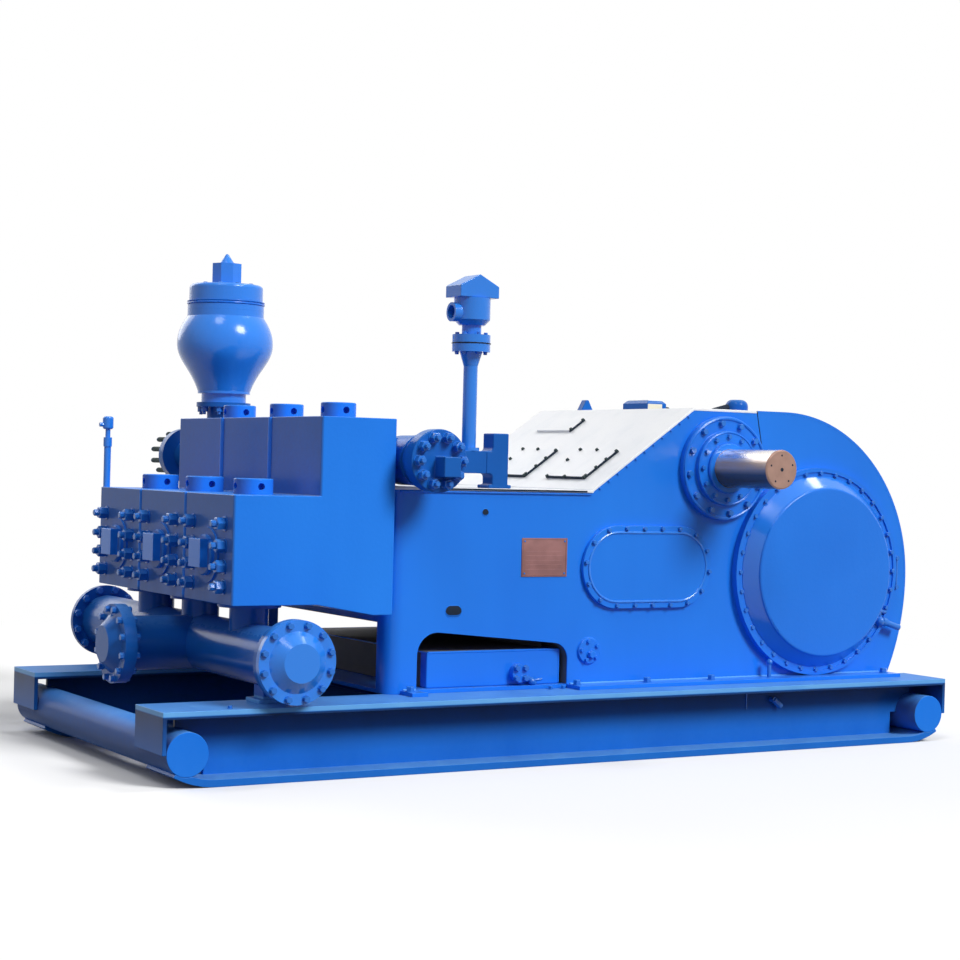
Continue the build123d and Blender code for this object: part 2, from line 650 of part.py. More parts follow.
def discharge_end_flange():
    """The studded blind end on the near side, with a square boss on its face."""
    face = -DISCHARGE_NEAR - NEAR_FLANGE
    end = rod_y(NEAR_FLANGE_RADIUS, face, -DISCHARGE_NEAR, DISCHARGE_X, DISCHARGE_Z)
    z = DISCHARGE_Z - BOSS_DROP
    return end + block(BOSS_X - BOSS_WIDTH / 2, BOSS_X + BOSS_WIDTH / 2, face - BOSS_REACH,
                       -DISCHARGE_NEAR, z - BOSS_HEIGHT / 2, z + BOSS_HEIGHT / 2)


def discharge_cross():
    """The strainer cross beyond the far module, with its outlet pipe, flange and studs."""
    y0 = CROSS_Y - CROSS_LENGTH / 2
    body = rod_y(CROSS_RADIUS, y0, CROSS_Y + CROSS_LENGTH / 2, DISCHARGE_X, DISCHARGE_Z)
    body += rod_z(CROSS_NECK_RADIUS, DISCHARGE_Z, DAMPENER_BASE - CROSS_FLANGE, DISCHARGE_X, CROSS_Y)
    body += rod_z(DAMPENER_FLANGE_RADIUS, DAMPENER_BASE - CROSS_FLANGE, DAMPENER_BASE,
                  DISCHARGE_X, CROSS_Y)
    body += rod_y(OUTLET_PIPE_RADIUS, CROSS_Y, OUTLET_FACE, DISCHARGE_X, DISCHARGE_Z)
    body += rod_y(OUTLET_FLANGE_RADIUS, OUTLET_FACE - OUTLET_FLANGE, OUTLET_FACE,
                  DISCHARGE_X, DISCHARGE_Z)
    for across_, up in ring_of(OUTLET_STUDS, OUTLET_STUD_CIRCLE / 2, 180 / OUTLET_STUDS):
        body += rod_y(OUTLET_STUD_RADIUS, OUTLET_FACE - 1, OUTLET_FACE + OUTLET_STUD_REACH,
                      DISCHARGE_X + across_, DISCHARGE_Z + up)
    body -= rod_y(OUTLET_BORE_RADIUS, CROSS_Y, OUTLET_FACE + 1, DISCHARGE_X, DISCHARGE_Z)
    return body


def dampener_body():
    """The forged round vessel on its short neck."""
    neck = DAMPENER_NECK
    waist = neck + DAMPENER_WAIST
    flank = Spline((DAMPENER_WAIST_RADIUS, waist), (DAMPENER_RADIUS, DAMPENER_WIDEST),
                   (LID_RADIUS, DAMPENER_HEIGHT), tangents=[(0.35, 1), (0, 1), (-0.72, 1)])
    outline = make_face([
        Polyline((LID_RADIUS, DAMPENER_HEIGHT), (0, DAMPENER_HEIGHT), (0, 0),
                 (DAMPENER_NECK_RADIUS, 0), (DAMPENER_NECK_RADIUS, neck),
                 (DAMPENER_WAIST_RADIUS, neck), (DAMPENER_WAIST_RADIUS, waist)),
        flank,
    ])
    return Pos(DISCHARGE_X, CROSS_Y, DAMPENER_BASE) * revolve(Plane.XZ * outline, Axis.Z)


def dampener_lid():
    """The stepped lid that is bolted on the vessel."""
    lid = rod_z(LID_RADIUS - LID_STEP, 0, LID_HEIGHT, 0, 0)
    lid = fillet(lid.edges().group_by(Axis.Z)[-1], LID_EDGE)
    lid += rod_z(LID_RADIUS, 0, LID_RIM, 0, 0)
    return Pos(DISCHARGE_X, CROSS_Y, DAMPENER_BASE + DAMPENER_HEIGHT) * lid


def dampener_cap():
    """The charging valve guard on the lid, a many-sided cap with a pointed top."""
    prism = extrude(RegularPolygon(FILLER_CAP_RADIUS, FILLER_CAP_SIDES), FILLER_CAP_HEIGHT)
    point = Pos(0, 0, FILLER_CAP_HEIGHT + FILLER_CAP_POINT / 2) * Cone(
        FILLER_CAP_RADIUS * 0.5, FILLER_CAP_RADIUS * 0.08, FILLER_CAP_POINT)
    return Pos(DISCHARGE_X, CROSS_Y, DAMPENER_BASE + DAMPENER_HEIGHT + LID_HEIGHT) * (prism + point)


# ---------------------------------------------------------------- relief valve and bracket

def relief_elbow():
    """The arm from the manifold's near hub back to the column, which also carries the riser."""
    x1 = COLUMN_X - COLUMN_WIDTH / 2 - ARM_STUB
    half = ARM_THICKNESS / 2
    z0 = DISCHARGE_Z - ARM_HEIGHT / 2
    arm = block(DISCHARGE_X, x1, RELIEF_Y - half, RELIEF_Y + half, z0, z0 + ARM_HEIGHT)
    return arm - rod_y(NEAR_HUB_RADIUS + WELD_GAP, RELIEF_Y - half - 1, RELIEF_Y + half + 1,
                       DISCHARGE_X, DISCHARGE_Z)


def manifold_bracket():
    """The column on the deck that carries the arm, with a filleted stub and a foot pad."""
    x0 = COLUMN_X - COLUMN_WIDTH / 2
    x1 = COLUMN_X + COLUMN_WIDTH / 2
    z0 = DECK_HEIGHT + DECK_PLATE + COLUMN_PAD
    z1 = DECK_HEIGHT + DECK_PLATE + COLUMN_HEIGHT
    low = DISCHARGE_Z - ARM_HEIGHT / 2
    high = DISCHARGE_Z + ARM_HEIGHT / 2
    side = make_face(Polyline(
        (x0 - ARM_STUB, low), (x0, low), (x0, z0), (x1, z0), (x1, z1), (x0, z1), (x0, high),
        (x0 - ARM_STUB, high), close=True))
    inner = [v for v in side.vertices() if abs(v.X - x0) < 1 and low - 1 < v.Y < high + 1]
    side = fillet(inner, ARM_FILLET)
    half = ARM_THICKNESS / 2
    column = across(side, RELIEF_Y - half, RELIEF_Y + half)
    pad = COLUMN_PAD_WIDTH / 2
    return column + block(COLUMN_X - pad, COLUMN_X + pad, RELIEF_Y - half, RELIEF_Y + pad,
                          z0 - COLUMN_PAD, z0)


def relief_riser():
    """The pipe from the arm up to the relief valve, with its weld-neck flange."""
    z0 = DISCHARGE_Z + ARM_HEIGHT / 2
    seat = RISER_TOP - RELIEF_FLANGE
    riser = rod_z(RISER_RADIUS, z0, RISER_TOP, RELIEF_X, RELIEF_Y)
    riser += rod_z(RISER_RADIUS * 1.5, z0, z0 + 16, RELIEF_X, RELIEF_Y)
    riser += Pos(RELIEF_X, RELIEF_Y, seat - RISER_NECK / 2) * Cone(
        RISER_RADIUS, RISER_RADIUS * 1.6, RISER_NECK)
    return riser + rod_z(RELIEF_FLANGE_RADIUS, seat, RISER_TOP, RELIEF_X, RELIEF_Y)


def relief_valve():
    """The relief valve: flange, neck, body and the side outlet facing forward."""
    body = rod_z(RELIEF_FLANGE_RADIUS, 0, RELIEF_FLANGE, 0, 0)
    body += rod_z(RELIEF_NECK_RADIUS, 0, RELIEF_FLANGE + RELIEF_NECK + 1, 0, 0)
    z0 = RELIEF_FLANGE + RELIEF_NECK
    barrel = rod_z(RELIEF_BODY_RADIUS, z0, z0 + RELIEF_BODY_HEIGHT, 0, 0)
    body += chamfer(barrel.edges().group_by(Axis.Z)[0], RELIEF_BODY_RADIUS * 0.3)
    z = z0 + RELIEF_OUTLET_RISE
    body += rod_x(RELIEF_OUTLET_RADIUS, -RELIEF_OUTLET_REACH, 0, 0, z)
    body -= rod_x(RELIEF_OUTLET_BORE, -RELIEF_OUTLET_REACH - 1, 0, 0, z)
    return Pos(RELIEF_X, RELIEF_Y, RISER_TOP) * body


def relief_housing():
    """The box with a low gabled roof over the shear pin."""
    half = HOUSING_WIDTH / 2
    outline = Polyline((-half, 0), (half, 0), (half, HOUSING_WALL), (0, HOUSING_WALL + HOUSING_PEAK),
                       (-half, HOUSING_WALL), close=True)
    roof = across(make_face(outline), -HOUSING_DEPTH / 2, HOUSING_DEPTH / 2)
    z = RISER_TOP + RELIEF_FLANGE + RELIEF_NECK + RELIEF_BODY_HEIGHT
    return Pos(RELIEF_X, RELIEF_Y, z) * roof


# ---------------------------------------------------------------- small parts

def gauge_pole():
    """The thin pole at the far front corner, with a sleeve and a fitting that has a side stub."""
    sleeve = POLE_HEIGHT + SLEEVE_HEIGHT
    head = sleeve + POLE_NECK
    pole = rod_z(POLE_RADIUS, 0, POLE_HEIGHT, 0, 0)
    pole += rod_z(SLEEVE_RADIUS, POLE_HEIGHT, sleeve, 0, 0)
    pole += rod_z(POLE_NECK_RADIUS, sleeve, head, 0, 0)
    fitting = rod_z(POLE_HEAD_RADIUS, head, head + POLE_HEAD, 0, 0)
    pole += fillet(fitting.edges().filter_by(GeomType.CIRCLE), POLE_HEAD_RADIUS * 0.45)
    pole += rod_x(POLE_STUB_RADIUS, -POLE_STUB_REACH, 0, 0, head + POLE_HEAD * 0.35)
    return Pos(POLE_X, POLE_Y, LOWER_TOP) * pole


def lifting_lug():
    """A triangular lug at the head of the slope."""
    half = LUG_BASE / 2
    tip = LUG_TIP / 2
    outline = Polyline((-half, 0), (half, 0), (tip, LUG_HEIGHT), (-tip, LUG_HEIGHT), close=True)
    lug = across(make_face(outline), -LUG_THICKNESS / 2, LUG_THICKNESS / 2)
    return Pos(SLOPE_END + LUG_SETBACK + half, LUG_Y, TOP_HEIGHT + DECK_PLATE) * lug


def top_hatch():
    """The low box lid on top of the gear case."""
    lid = Pos(0, 0, HATCH_HEIGHT / 2) * Box(HATCH_LENGTH, HATCH_WIDTH, HATCH_HEIGHT)
    lid = chamfer(lid.edges().group_by(Axis.Z)[-1], HATCH_HEIGHT * 0.3)
    return Pos(HATCH_X, HATCH_Y, TOP_HEIGHT + DECK_PLATE) * lid


def breather():
    """The round breather cap on the hood's crown."""
    top = HOOD_Z + HOOD_RADIUS
    dome = rod_z(BREATHER_RADIUS, top, top + BREATHER_HEIGHT, BREATHER_X, BREATHER_Y)
    return fillet(dome.edges().group_by(Axis.Z)[-1], BREATHER_HEIGHT * 0.55)


# ---------------------------------------------------------------- the whole pump

parts = {}
for name, side in SIDES.items():
    parts["skid_beam_" + name] = skid_beam(side)
parts["skid_pipe_front"] = skid_pipe(PIPE_X)
parts["skid_pipe_rear"] = skid_pipe(SKID_LENGTH - PIPE_X)
parts["skid_cross_beams"] = skid_cross_beams()
parts["power_frame"] = power_frame()
parts["rear_hood"] = rear_hood()
parts["front_deck"] = front_deck()
parts["sloped_deck"] = sloped_deck()
parts["deck_cover_near"] = deck_cover(LOW_COVER_START, LOW_COVER_LENGTH, LOW_COVER_WIDTH,
                                      LOW_COVER_NEAR_Y)
parts["deck_cover_middle"] = deck_cover(LOW_COVER_START, LOW_COVER_LENGTH, LOW_COVER_WIDTH,
                                        LOW_COVER_MIDDLE_Y)
parts["deck_cover_upper"] = deck_cover(SLOPE_LENGTH - TOP_COVER_GAP - TOP_COVER_LENGTH,
                                       TOP_COVER_LENGTH, TOP_COVER_WIDTH, TOP_COVER_Y)
for name, side in SIDES.items():
    parts["crosshead_door_" + name] = crosshead_door(side)
    parts["crank_cover_" + name] = crank_cover(side)
    parts["pinion_cover_" + name] = pinion_cover(side)
parts["pinion_shaft"] = pinion_shaft()
parts["wash_tank"] = wash_tank()
parts["wash_tank_cover"] = wash_tank_cover()
for name, y in zip(MODULE_NAMES, MODULE_Y):
    parts["fluid_module_" + name] = fluid_module(y)
    parts["suction_valve_cover_" + name] = valve_cover(
        SUCTION_COVER_X, y, LOWER_TOP, SUCTION_COVER_RADIUS)
    parts["discharge_valve_cover_" + name] = valve_cover(
        DISCHARGE_COVER_X, y, UPPER_TOP, DISCHARGE_COVER_RADIUS)
    parts["cylinder_plug_" + name] = cylinder_plug(y)
parts["fluid_end_plate"] = fluid_end_plate()
parts["suction_manifold"] = suction_manifold()
parts["suction_cap_near"] = Pos(SUCTION_X, -SUCTION_NEAR, SUCTION_Z) * Rot(90, 0, 0) * suction_cap()
parts["suction_cap_front"] = Pos(BRANCH_REACH, BRANCH_Y, SUCTION_Z) * Rot(0, -90, 0) * suction_cap()
parts["manifold_pedestals"] = manifold_pedestals()
parts["discharge_manifold"] = discharge_manifold()
parts["discharge_end_flange"] = discharge_end_flange()
parts["discharge_cross"] = discharge_cross()
parts["dampener_body"] = dampener_body()
parts["dampener_lid"] = dampener_lid()
parts["dampener_cap"] = dampener_cap()
parts["relief_elbow"] = relief_elbow()
parts["manifold_bracket"] = manifold_bracket()
parts["relief_riser"] = relief_riser()
parts["relief_valve"] = relief_valve()
parts["relief_housing"] = relief_housing()
parts["gauge_pole"] = gauge_pole()
parts["lifting_lug"] = lifting_lug()
parts["top_hatch"] = top_hatch()
parts["breather"] = breather()

# The origin is moved to the middle of the pump's footprint, level with the skid's underside.
whole = Compound(children=[Compound(p.solids()) for p in parts.values()]).bounding_box()
home = Pos(-(whole.min.X + whole.max.X) / 2, -(whole.min.Y + whole.max.Y) / 2, -whole.min.Z)
print("moved by", home.position)

os.makedirs("parts", exist_ok=True)
for name, part in parts.items():
    export_step(home * part, "parts/" + name + ".step")
print(len(parts), "nodes")
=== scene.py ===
# %% [markdown]
# # Dressing a triplex mud pump
# A mud pump pushes drilling mud down a well. Three plungers in a row are driven by one crankshaft.
# The front, at -X, is the fluid end with its valves and manifolds. The back is the welded power
# frame with the crank and the pinion. Everything stands on a sled of two beams.
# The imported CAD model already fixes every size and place. This lesson adds what CAD leaves out:
# rounded edges, bolts, weld beads, a data plate, and paint that looks like paint.

# %% Load the frame
import math
from fnmatch import fnmatch

import bmesh
import bpy
import numpy as np
from mathutils import Matrix, Vector


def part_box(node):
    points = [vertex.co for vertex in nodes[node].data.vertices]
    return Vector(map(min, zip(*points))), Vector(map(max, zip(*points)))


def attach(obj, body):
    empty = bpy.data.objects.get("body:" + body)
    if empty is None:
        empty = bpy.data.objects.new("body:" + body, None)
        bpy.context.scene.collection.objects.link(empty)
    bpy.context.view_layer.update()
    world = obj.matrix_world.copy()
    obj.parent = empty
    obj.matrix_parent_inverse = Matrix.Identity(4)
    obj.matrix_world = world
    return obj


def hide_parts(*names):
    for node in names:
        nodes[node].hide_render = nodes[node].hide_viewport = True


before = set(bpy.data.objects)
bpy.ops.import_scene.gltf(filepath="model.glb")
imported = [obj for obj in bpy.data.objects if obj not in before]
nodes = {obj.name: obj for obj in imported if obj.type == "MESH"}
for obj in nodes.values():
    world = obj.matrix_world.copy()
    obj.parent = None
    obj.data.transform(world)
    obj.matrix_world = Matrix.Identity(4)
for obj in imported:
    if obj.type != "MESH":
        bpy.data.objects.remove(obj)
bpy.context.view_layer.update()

# %% [markdown]
# ## One way to say where things are
# The sled is the natural ruler of this machine. All places below are metres from the sled's front
# plate (x), from the middle between the beams (y) and from the sled's underside (z).
# Sizes that the CAD already knows are read from its nodes, so they can't drift apart.

# %% Places on the pump
near_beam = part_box("skid_beam_near")
far_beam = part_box("skid_beam_far")
HOME = np.array([near_beam[0].x, (near_beam[0].y + far_beam[1].y) / 2, near_beam[0].z])


def span(node):
    """Lowest and highest corner of a CAD node, in pump places."""
    low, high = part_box(node)
    return np.array(low) - HOME, np.array(high) - HOME


def middle(node):
    """The middle of a CAD node's box, in pump places."""
    low, high = span(node)
    return (low + high) / 2


SIDES = {"near": -1, "far": 1}
UP, NEARWARD, FARWARD = (0, 0, 1), (0, -1, 0), (0, 1, 0)
MODULES = ["near", "middle", "far"]
WALL = span("crank_cover_far")[0][1]
FOOT_TOP = 0.359
print("sled", np.round(span("skid_beam_near")[1][0], 3), "m long, side walls at y", np.round(WALL, 3))

# %% [markdown]
# ## The camera
# The pump is seen from its front near corner, standing back far enough for a long lens, so that
# the upright edges stay nearly parallel. A fixed place and three turns describe such a camera
# fully, which is simpler to reason about than aiming it at a target.

# %% Camera
CAMERA_PLACE = (-3.33888, -9.21615, 1.44600)
CAMERA_YAW = 0.540204
CAMERA_PITCH = -0.006813
CAMERA_ROLL = 0.025825
CAMERA_LENS = 75.545

camera = bpy.data.objects.new("camera", bpy.data.cameras.new("camera"))
bpy.context.scene.collection.objects.link(camera)
bpy.context.scene.camera = camera
camera.data.sensor_fit = "HORIZONTAL"
camera.data.sensor_width = 36
camera.data.lens = CAMERA_LENS
camera.data.clip_end = 500
camera.matrix_world = (
    Matrix.Translation(Vector(CAMERA_PLACE) + Vector(HOME))
    @ Matrix.Rotation(-CAMERA_YAW, 4, "Z")
    @ Matrix.Rotation(math.pi / 2 + CAMERA_PITCH, 4, "X")
    @ Matrix.Rotation(CAMERA_ROLL, 4, "Z")
)
print("camera", [round(c, 3) for c in camera.location], "lens", CAMERA_LENS)

# %% [markdown]
# ## Writing shader maths as plain sums
# A procedural material is a sum: so much of one noise, times a mask, plus a constant. In the node
# editor that becomes a web of Math nodes. A small class around a socket lets Python's own + - *
# add those nodes, so a recipe below reads like the formula it stands for.

# %% Sockets that can be added and multiplied
class Value:
    """One output socket of a recipe. Sums and products on it add Math nodes."""

    def __init__(self, recipe, socket):
        self.recipe = recipe
        self.socket = socket

    def maths(self, operation, first, second):
        return self.recipe.node("Math", {"operation": operation}, {0: first, 1: second})

    def __add__(self, other):
        return self.maths("ADD", self, other)

    def __radd__(self, other):
        return self.maths("ADD", other, self)

    def __sub__(self, other):
        return self.maths("SUBTRACT", self, other)

    def __rsub__(self, other):
        return self.maths("SUBTRACT", other, self)

    def __mul__(self, other):
        return self.maths("MULTIPLY", self, other)

    def __rmul__(self, other):
        return self.maths("MULTIPLY", other, self)

    def held(self):
        """The value, kept between 0 and 1."""
        return self.maths("MINIMUM", self.maths("MAXIMUM", self, 0.0), 1.0)


class Recipe:
    """The nodes of one material, or of the world, while they are being made."""

    def __init__(self, owner, output="OutputMaterial"):
        self.owner = owner
        owner.use_nodes = True
        self.tree = owner.node_tree
        self.tree.nodes.clear()
        self.output = self.tree.nodes.new("ShaderNode" + output)

    def feed(self, socket, value):
        """Links a Value to a socket, or sets the socket's own number or colour."""
        if isinstance(value, Value):
            self.tree.links.new(value.socket, socket)
        else:
            socket.default_value = value

    def node(self, kind, settings=None, inputs=None, output=0):
        """Any node: its settings are set first, then its sockets. Returns one output."""
        made = self.tree.nodes.new("ShaderNode" + kind)
        for key, value in (settings or {}).items():
            setattr(made, key, value)
        for key, value in (inputs or {}).items():
            self.feed(made.inputs[key], value)
        return Value(self, made.outputs[output])

    def shown(self, shader):
        """Ends a recipe: the shader goes to its output."""
        self.feed(self.output.inputs[0], shader)
        print("finish:", self.owner.name)
        return self.owner

    def principled(self, inputs):
        """The shader of every painted or bare surface."""
        return self.node("BsdfPrincipled", {}, inputs)

    def place(self):
        """Object coordinates: metres in the pump's own frame."""
        return self.node("TexCoord", output="Object")

    def noise(self, scale, detail=3.0, stretch=(1, 1, 1)):
        """Soft noise with about `scale` lumps to a metre, stretched along the axes."""
        where = self.node("Mapping", {}, {"Vector": self.place(), "Scale": stretch})
        return self.node("TexNoise", {}, {"Vector": where, "Scale": scale, "Detail": detail})

    def step(self, value, low, high):
        """0 below low, 1 above high, and a straight ramp between."""
        return self.node("MapRange", {"clamp": True}, {0: value, 1: low, 2: high, 3: 0.0, 4: 1.0})

    def mixed(self, share, first, second):
        """A colour between two others: Values, or plain red, green and blue."""
        first, second = (c if isinstance(c, Value) else (*c, 1.0) for c in (first, second))
        return self.node("Mix", {"data_type": "RGBA"}, {0: share, 6: first, 7: second}, 2)

    def bumps(self, *layers):
        """Stacked bumps, each a (height, distance in metres) pair, as one normal."""
        stacked = {}
        for height, distance in layers:
            inputs = {"Height": height, "Distance": distance, "Strength": 1.0, **stacked}
            stacked["Normal"] = self.node("Bump", {}, inputs)
        return stacked["Normal"]

    def facing(self, axis):
        """One part of the surface normal: axis 2 gives 1 on top, 0 on the sides, -1 underneath."""
        normal = self.node("NewGeometry", output="Normal")
        return self.node("SeparateXYZ", {}, {0: normal}, axis)


print("shader helpers ready")

# %% [markdown]
# ## Blue enamel
# Drilling equipment is sprayed in thick gloss enamel over welded plate. Three things make it
# read as real: the plate under it is slightly wavy, so reflections swim; the paint has a fine
# orange peel; and dust greys whatever faces up and, faintly, the lowest forty centimetres, while a
# painted pale sky sheen lightens what faces up. A stronger, lumpier bump makes painted castings.
# Under the flanges of the sled a painted shade turns the enamel near black and their rims carry a
# painted pale highlight, and a painted grey shade dulls what faces the front.

# %% Painted steel
# The first colour is dust and a painted pale sheen of sky on what faces up.
DUST_AND_SKY_SHEEN = (0.17, 0.42, 0.76)
# The next two colours are a painted shade under the sled's flanges and a painted highlight on their rims.
PAINTED_FLANGE_SHADE = (0.010, 0.018, 0.060)
PAINTED_RIM_HIGHLIGHT = (0.160, 0.450, 0.850)
# Painted shade: a dull grey for faces that look to the front.
PAINTED_FRONT_SHADE = (0.100, 0.092, 0.115)


def enamel(name, colour, deep, roughness=0.20, waves=0.003, peel=0.0002, grain=0.0, dust_and_sheen=0.5,
           gloss=0.16, flange_shade=0.0, front_shade=0.0):
    """Gloss paint: colour = mix(deep, colour, cloudy noise), then a painted shade * a band of heights
    under the sled's flanges, a painted highlight on their rims, a painted grey shade * what faces the
    front, and dust with a painted sky sheen * what faces up. Waves, peel and grain are bump heights in
    metres for the wavy plate, the orange peel and a casting's skin."""
    paint = Recipe(bpy.data.materials.new(name))
    cloud = paint.noise(1.3, 2.0)
    fine = paint.noise(38.0)
    streaks = paint.noise(6.0, stretch=(1.0, 1.0, 0.12))
    shade = (cloud * 0.75 + streaks * 0.25 - 0.25) * 1.8
    body = paint.mixed(shade.held(), deep, colour)
    height = paint.node("SeparateXYZ", {}, {0: paint.place()}, 2)
    low = 1 - paint.step(height, 0.02, 0.42)
    top = paint.step(paint.facing(2), 0.55, 0.98)
    # Dust on what faces up, mixed with a painted sky sheen, and faint dust low down.
    dust_and_sheen_mask = ((top * 0.62 + low * 0.06) * dust_and_sheen * (fine * 0.8 + streaks * 0.7)).held()
    # Painted shade: a near-black band under the sled's flanges; painted highlight: a pale band on their
    # rims.
    if flange_shade:
        flange_shade_band = paint.step(height, 0.10, 0.30) * (1 - paint.step(height, 0.314, 0.319))
        rim = paint.step(height, 0.316, 0.322) * (1 - paint.step(height, 0.366, 0.372))
        flange_shade_band = flange_shade_band * (1 - top) * (streaks * 0.5 + 0.7) * flange_shade
        rim = rim * (1 - top) * (streaks * 0.5 + 0.6)
        body = paint.mixed(flange_shade_band.held(), body, PAINTED_FLANGE_SHADE)
        body = paint.mixed(rim.held(), body, PAINTED_RIM_HIGHLIGHT)
    # Painted shade: faces that look to the front are greyed.
    if front_shade:
        front = paint.step(paint.facing(0), -0.45, -0.95) * (fine * 0.3 + 0.8) * front_shade
        body = paint.mixed(front.held(), body, PAINTED_FRONT_SHADE)
    layers = [(cloud, waves), (paint.noise(260.0, 1.0), peel)]
    if grain:
        layers.insert(1, (paint.noise(55.0, 4.0), grain))
    return paint.shown(paint.principled({
        "Base Color": paint.mixed(dust_and_sheen_mask, body, DUST_AND_SKY_SHEEN),
        "Roughness": dust_and_sheen_mask * 0.5 + roughness + fine * 0.05,
        "Coat Weight": gloss - dust_and_sheen_mask * gloss,
        "Normal": paint.bumps(*layers),
        "IOR": 1.5, "Specular IOR Level": gloss, "Coat Roughness": 0.08, "Coat IOR": 1.3,
    }))


plate_blue = enamel("blue enamel on plate", (0.016, 0.218, 0.850), (0.012, 0.170, 0.730), waves=0.008)
cast_blue = enamel("blue enamel on castings", (0.016, 0.208, 0.830), (0.012, 0.165, 0.720),
                   grain=0.0006, gloss=0.18)
vessel_blue = enamel("blue enamel on the vessel", (0.026, 0.245, 0.840), (0.018, 0.195, 0.740), 0.16,
                     grain=0.0004, gloss=0.34)
# The fluid end and the skid pipes take the painted front shade; the sled takes the painted flange shade and
# rim highlight.
forged_blue = enamel("blue enamel on the fluid end", (0.024, 0.235, 0.880), (0.018, 0.190, 0.780),
                     grain=0.0006, gloss=0.05, front_shade=0.50)
sled_blue = enamel("blue enamel on the sled", (0.010, 0.165, 0.660), (0.007, 0.120, 0.530), 0.26,
                   waves=0.006, dust_and_sheen=1.0, gloss=0.06, flange_shade=0.85)
wet_blue = enamel("thick blue enamel on rolled rims", (0.020, 0.225, 0.840), (0.014, 0.180, 0.740),
                  0.12, dust_and_sheen=0.3, gloss=0.45)
pipe_blue = enamel("blue enamel on the skid pipes", (0.018, 0.215, 0.860), (0.012, 0.165, 0.720),
                   0.26, dust_and_sheen=1.0, gloss=0.02, front_shade=0.60)
# Painted shade: a darker copy of the blue for the piping and the other parts that lie in shade.
shade_blue = enamel("blue enamel on the piping", (0.012, 0.140, 0.540), (0.008, 0.095, 0.400),
                    grain=0.0006, gloss=0.10)
bolt_blue = enamel("blue enamel on fasteners", (0.020, 0.205, 0.730), (0.012, 0.130, 0.520), 0.16,
                   waves=0.001, peel=0.0003, gloss=0.30)

# %% [markdown]
# ## The pale deck
# The walking surfaces on top are pale, so that oil shows and they stay cool in the sun. The paint
# is satin, rubbed a little where boots go, and speckled with fine dirt; level faces get a painted shade
# that keeps them from glaring white.

# %% Deck paint
DIRT = (0.25, 0.27, 0.30)


def deck_paint(name, colour, worn_and_shaded_colour):
    """colour = mix(colour, worn colour, blotches + scuffs + painted shade on level faces), with fine specks.
    """
    paint = Recipe(bpy.data.materials.new(name))
    blotch = paint.step(paint.noise(2.4, 4.0), 0.42, 0.75)
    scuffs = paint.step(paint.noise(9.0, 5.0, stretch=(0.25, 1.0, 1.0)), 0.5, 0.72)
    specks = paint.step(paint.noise(210.0, 2.0), 0.66, 0.74)
    # Painted shade: level faces are darkened a little.
    level = paint.step(paint.facing(2), 0.90, 0.99)
    wear_and_level_shade = (blotch * 0.18 + scuffs * 0.16 + level * 0.36).held()
    return paint.shown(paint.principled({
        "Base Color": paint.mixed(specks * 0.30, paint.mixed(wear_and_level_shade, colour, worn_and_shaded_colour), DIRT),
        "Roughness": wear_and_level_shade * 0.4 + 0.38,
        "Normal": paint.bumps((paint.noise(1.2, 2.0), 0.005), (paint.noise(180.0, 2.0), 0.0003)),
        "IOR": 1.48, "Coat Roughness": 0.2, "Coat Weight": 0.2,
    }))


pale = deck_paint("pale deck paint", (0.88, 0.89, 0.905), (0.60, 0.66, 0.73))
cream = deck_paint("cream hatch paint", (0.70, 0.66, 0.53), (0.50, 0.47, 0.38))

# %% [markdown]
# ## Bare metal
# Only the pinion shaft is left unpainted, because a coupling slides on it. A lathe leaves fine
# rings round it and preservative oil has tanned it in patches; a painted reflection makes its top white and
# its flanks tan, and a painted shade darkens its underside.
# Its sawn end has a copper tone. The data plate is thin copper too, brushed along its length.

# %% Steel and copper
def turned_steel():
    """Rings across Y: bump = noise(y) only; colour = mix(white, tan, oil + a painted reflection by n.z),
    with a painted shade as n.z falls.
    """
    metal = Recipe(bpy.data.materials.new("turned steel"))
    rings = metal.noise(420.0, 2.0, stretch=(0.02, 1.0, 0.02))
    bands = metal.noise(30.0, 2.0, stretch=(0.1, 1.0, 0.1))
    oil = metal.step(metal.noise(5.0, 4.0), 0.36, 0.64)
    up = metal.facing(2)
    # Painted reflection: white on top and tan on the flanks, by the normal's height, with oil patches adding
    # tan.
    tan_oil_and_reflection = (oil * 0.16 + bands * 0.10 + metal.step(up, 0.60, 0.30) * 0.75).held()
    colour = metal.mixed(tan_oil_and_reflection, (0.97, 0.95, 0.94), (0.58, 0.41, 0.31))
    # Painted shade: the underside goes dark.
    painted_underside_shade = metal.step(up, 0.02, -0.30)
    return metal.shown(metal.principled({
        "Base Color": metal.mixed(painted_underside_shade * 0.94, colour, (0.090, 0.100, 0.120)),
        "Metallic": 1 - tan_oil_and_reflection * 0.8,
        "Roughness": rings * 0.12 + oil * 0.06 + 0.12,
        "Normal": metal.bumps((rings, 0.0002), (bands, 0.0003)),
    }))


def copper(name, colour, stretch, shine):
    """Brushed copper with a darker tarnish in clouds: colour = mix(colour, 0.55 colour, clouds)."""
    metal = Recipe(bpy.data.materials.new(name))
    brush = metal.noise(300.0, 2.0, stretch=stretch)
    cloud = metal.step(metal.noise(11.0, 4.0), 0.35, 0.7)
    return metal.shown(metal.principled({
        "Base Color": metal.mixed(cloud * 0.6, colour, [c * 0.55 for c in colour]),
        "Metallic": shine,
        "Roughness": brush * 0.2 + 0.32,
        "Normal": metal.bumps((brush, 0.0001)),
    }))


steel = turned_steel()
shaft_copper = copper("copper shaft end", (0.37, 0.225, 0.180), (1.0, 1.0, 1.0), 0.6)
plate_copper = copper("copper plate", (0.29, 0.135, 0.130), (0.03, 1.0, 1.0), 0.4)

